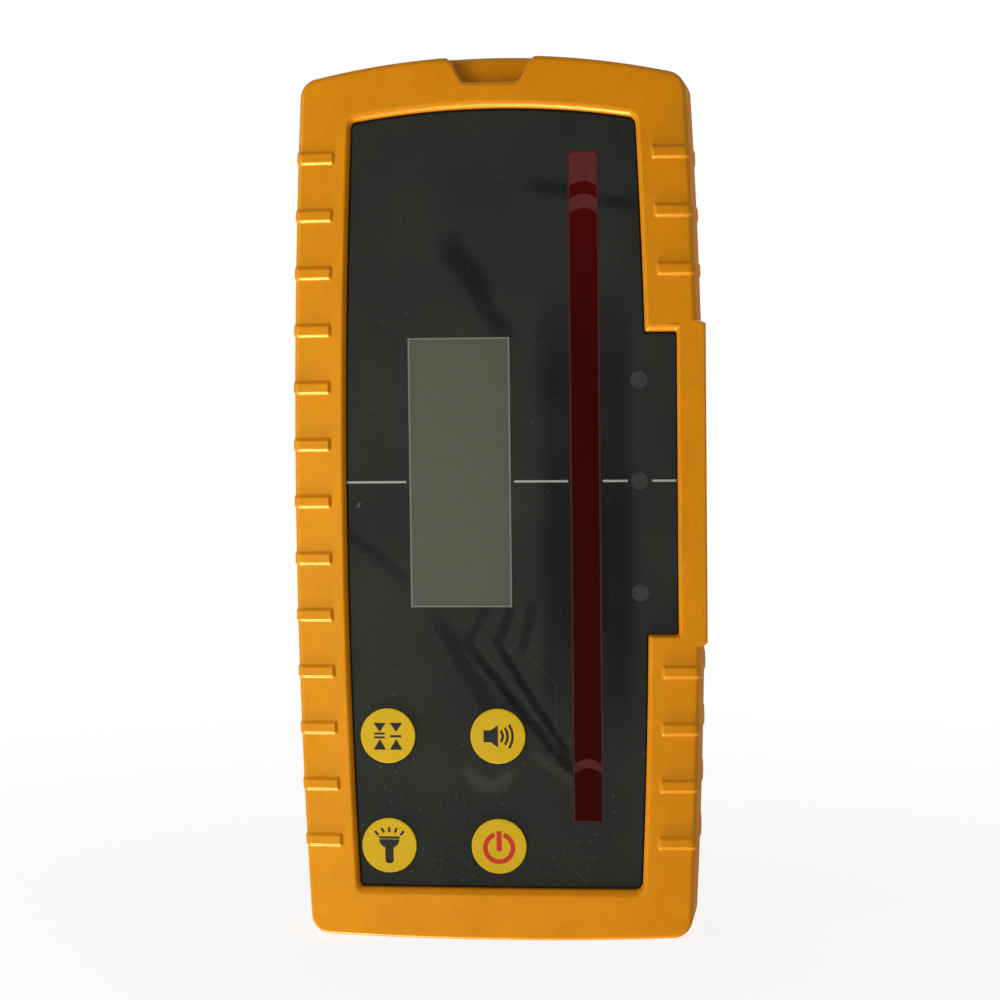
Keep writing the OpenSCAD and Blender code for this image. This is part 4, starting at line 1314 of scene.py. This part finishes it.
METAL_SLOTS = ("frame_steel", "contact_nickel", "screw_steel", "insert_brass")
GLOSSY_SLOTS = {"cell_wrap": 0.6}

slot_finish = {"display_grey": display_finish(), "window_red": window_finish()}
for slot, (tone, rough) in SLOT_LOOKS.items():
    shader = {"metallic": int(slot in METAL_SLOTS), "specular": GLOSSY_SLOTS.get(slot, PLAIN_SPECULAR)}
    slot_finish[slot] = moulded(slot, srgb(*tone), rough, **shader)

# Soft edges for the CAD nodes that show: width of the rounding
SOFT_EDGES = {
    "housing_screws": 0.15, "door_screw": 0.15, "bracket_insert": 0.15, "door_insert": 0.1,
    "battery_1": 0.3, "battery_2": 0.3, "battery_contacts": 0.08, "buzzer": 0.2, "board_chips": 0.1,
}
SOFT_SEGMENTS = 3
SOFT_ANGLE = 50
WELD_REACH = 0.001


def soften(piece, width):
    """Rounds a CAD node's edges with modifiers, over its unchanged mesh."""
    piece.modifiers.new("weld", "WELD").merge_threshold = WELD_REACH * MM
    bevel = piece.modifiers.new("edges", "BEVEL")
    bevel.width = width * MM
    bevel.segments = SOFT_SEGMENTS
    bevel.limit_method = "ANGLE"
    bevel.angle_limit = math.radians(SOFT_ANGLE)
    bevel.use_clamp_overlap = True
    bevel.harden_normals = True


for node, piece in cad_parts.items():
    slot = piece.data.materials[0].name
    if slot in slot_finish:
        piece.data.materials[0] = slot_finish[slot]
    if node in SOFT_EDGES:
        soften(piece, SOFT_EDGES[node])

# Camera fitted to the photograph: place in millimetres, angles in degrees
CAMERA_PLACE = (51.48, -462.05, 105.99)
CAMERA_YAW = 6.4119
CAMERA_ROLL = 0.2692
CAMERA_PITCH = -3.3929
CAMERA_LENS = 91.247

# A camera looks down until it is turned level
LEVEL_TURN = 90

# Area lamps, all turned to the middle of the part: place, width and height in metres, and power
LAMPS = {
    "front_lamp": ((-0.1, -0.47, -0.04), (0.11, 0.34), 0.44),
    "left_lamp": ((-0.16, -0.17, 0.075), (0.06, 0.34), 0.4),
    "low_lamp": ((-0.19, -0.12, -0.6), (0.19, 0.19), 5.8),
}
LAMP_TINT = (1, 0.99, 0.96)
LAMP_AIM = Vector((0, 0, BODY_H * MM / 2))

# Light of the world at the left, in front, at the right and behind; and the share of it that comes from above
WORLD_LEFT = 0.56
WORLD_FRONT = 0.03
WORLD_RIGHT = 0.9
WORLD_BEHIND = 1.3
WORLD_TOP_SHARE = 0.6

# The floor, in metres: it glows, but less so within reach of the part's shadow
FLOOR_SIZE = 6
FLOOR_TONE = (0.9, 0.9, 0.9, 1)
FLOOR_ROUGH = 0.8
FLOOR_SPECULAR = 0.5
FLOOR_GLOW_SHARE = 0.86
SHADOW_REACH = (0.05, 0.3)


def turned(degrees, axis):
    return Matrix.Rotation(math.radians(degrees), 4, axis)


def add_camera():
    camera = add_object("camera", bpy.data.cameras.new("camera"))
    camera.data.lens = CAMERA_LENS
    place = Matrix.Translation([c * MM for c in CAMERA_PLACE])
    turn = turned(CAMERA_PITCH, "X") @ turned(CAMERA_ROLL, "Y") @ turned(CAMERA_YAW, "Z")
    camera.matrix_world = place @ turn @ turned(LEVEL_TURN, "X")
    bpy.context.scene.camera = camera


def add_lamp(name, place, size, power):
    """Area lamp that the camera doesn't see."""
    data = bpy.data.lights.new(name, "AREA")
    data.shape = "RECTANGLE"
    data.size, data.size_y = size
    data.energy = power
    data.color = LAMP_TINT
    lamp = add_object(name, data)
    lamp.visible_camera = False
    lamp.location = place
    lamp.rotation_euler = (LAMP_AIM - Vector(place)).to_track_quat("-Z", "Y").to_euler()


def add_world():
    """Light from the sides and from behind, and plain white where the world is seen."""
    world = bpy.data.worlds.new("studio")
    bpy.context.scene.world = world
    graph = Graph(world)
    place = graph.add("ShaderNodeTexCoord").outputs["Generated"]
    way = graph.add("ShaderNodeSeparateXYZ", Vector=place).outputs
    right = graph.scaled(way["X"], WORLD_FRONT, WORLD_RIGHT)
    left = graph.scaled(way["X"], WORLD_LEFT - WORLD_FRONT, 0, -1, 0)
    behind = graph.scaled(way["Y"], 0, WORLD_BEHIND - WORLD_FRONT)
    sides = graph.plus(graph.plus(right, left), behind)
    light = graph.times(sides, graph.scaled(way["Z"], 1, WORLD_TOP_SHARE, -1))
    background = graph.nodes["Background"].inputs
    background["Color"].default_value = (1, 1, 1, 1)
    graph.put(background["Strength"], graph.scaled(graph.seen_directly(), light, 1))


def add_floor():
    """Pale floor that looks white, keeps the shadow and lets light through from below, as a light table."""
    half = FLOOR_SIZE / 2
    corners = [(x, y, 0) for x, y in bar_shape(-half, half, -half, half)]
    mesh = bpy.data.meshes.new("floor")
    mesh.from_pydata(corners, [], [(0, 1, 2, 3)])
    finish = Finish("floor", specular=FLOOR_SPECULAR)
    finish.colour(FLOOR_TONE)
    finish.roughness(FLOOR_ROUGH)
    away = finish.add("ShaderNodeVectorMath", Vector=finish.place)
    away.operation = "LENGTH"
    glow_share = finish.scaled(away.outputs["Value"], FLOOR_GLOW_SHARE, 1, *SHADOW_REACH)
    share = finish.times(finish.seen_directly(), glow_share)
    mix = finish.add("ShaderNodeMixShader", Fac=share)
    finish.put(mix.inputs[1], finish.bsdf.outputs["BSDF"])
    finish.put(mix.inputs[2], finish.add("ShaderNodeEmission").outputs["Emission"])
    finish.put(finish.nodes["Material Output"].inputs["Surface"], mix.outputs["Shader"])
    mesh.materials.append(finish.material)
    floor = add_object("floor", mesh)
    floor.visible_shadow = False


add_camera()
add_world()
add_floor()
for lamp, look in LAMPS.items():
    add_lamp(lamp, *look)
bpy.context.scene.view_settings.view_transform = "Standard"
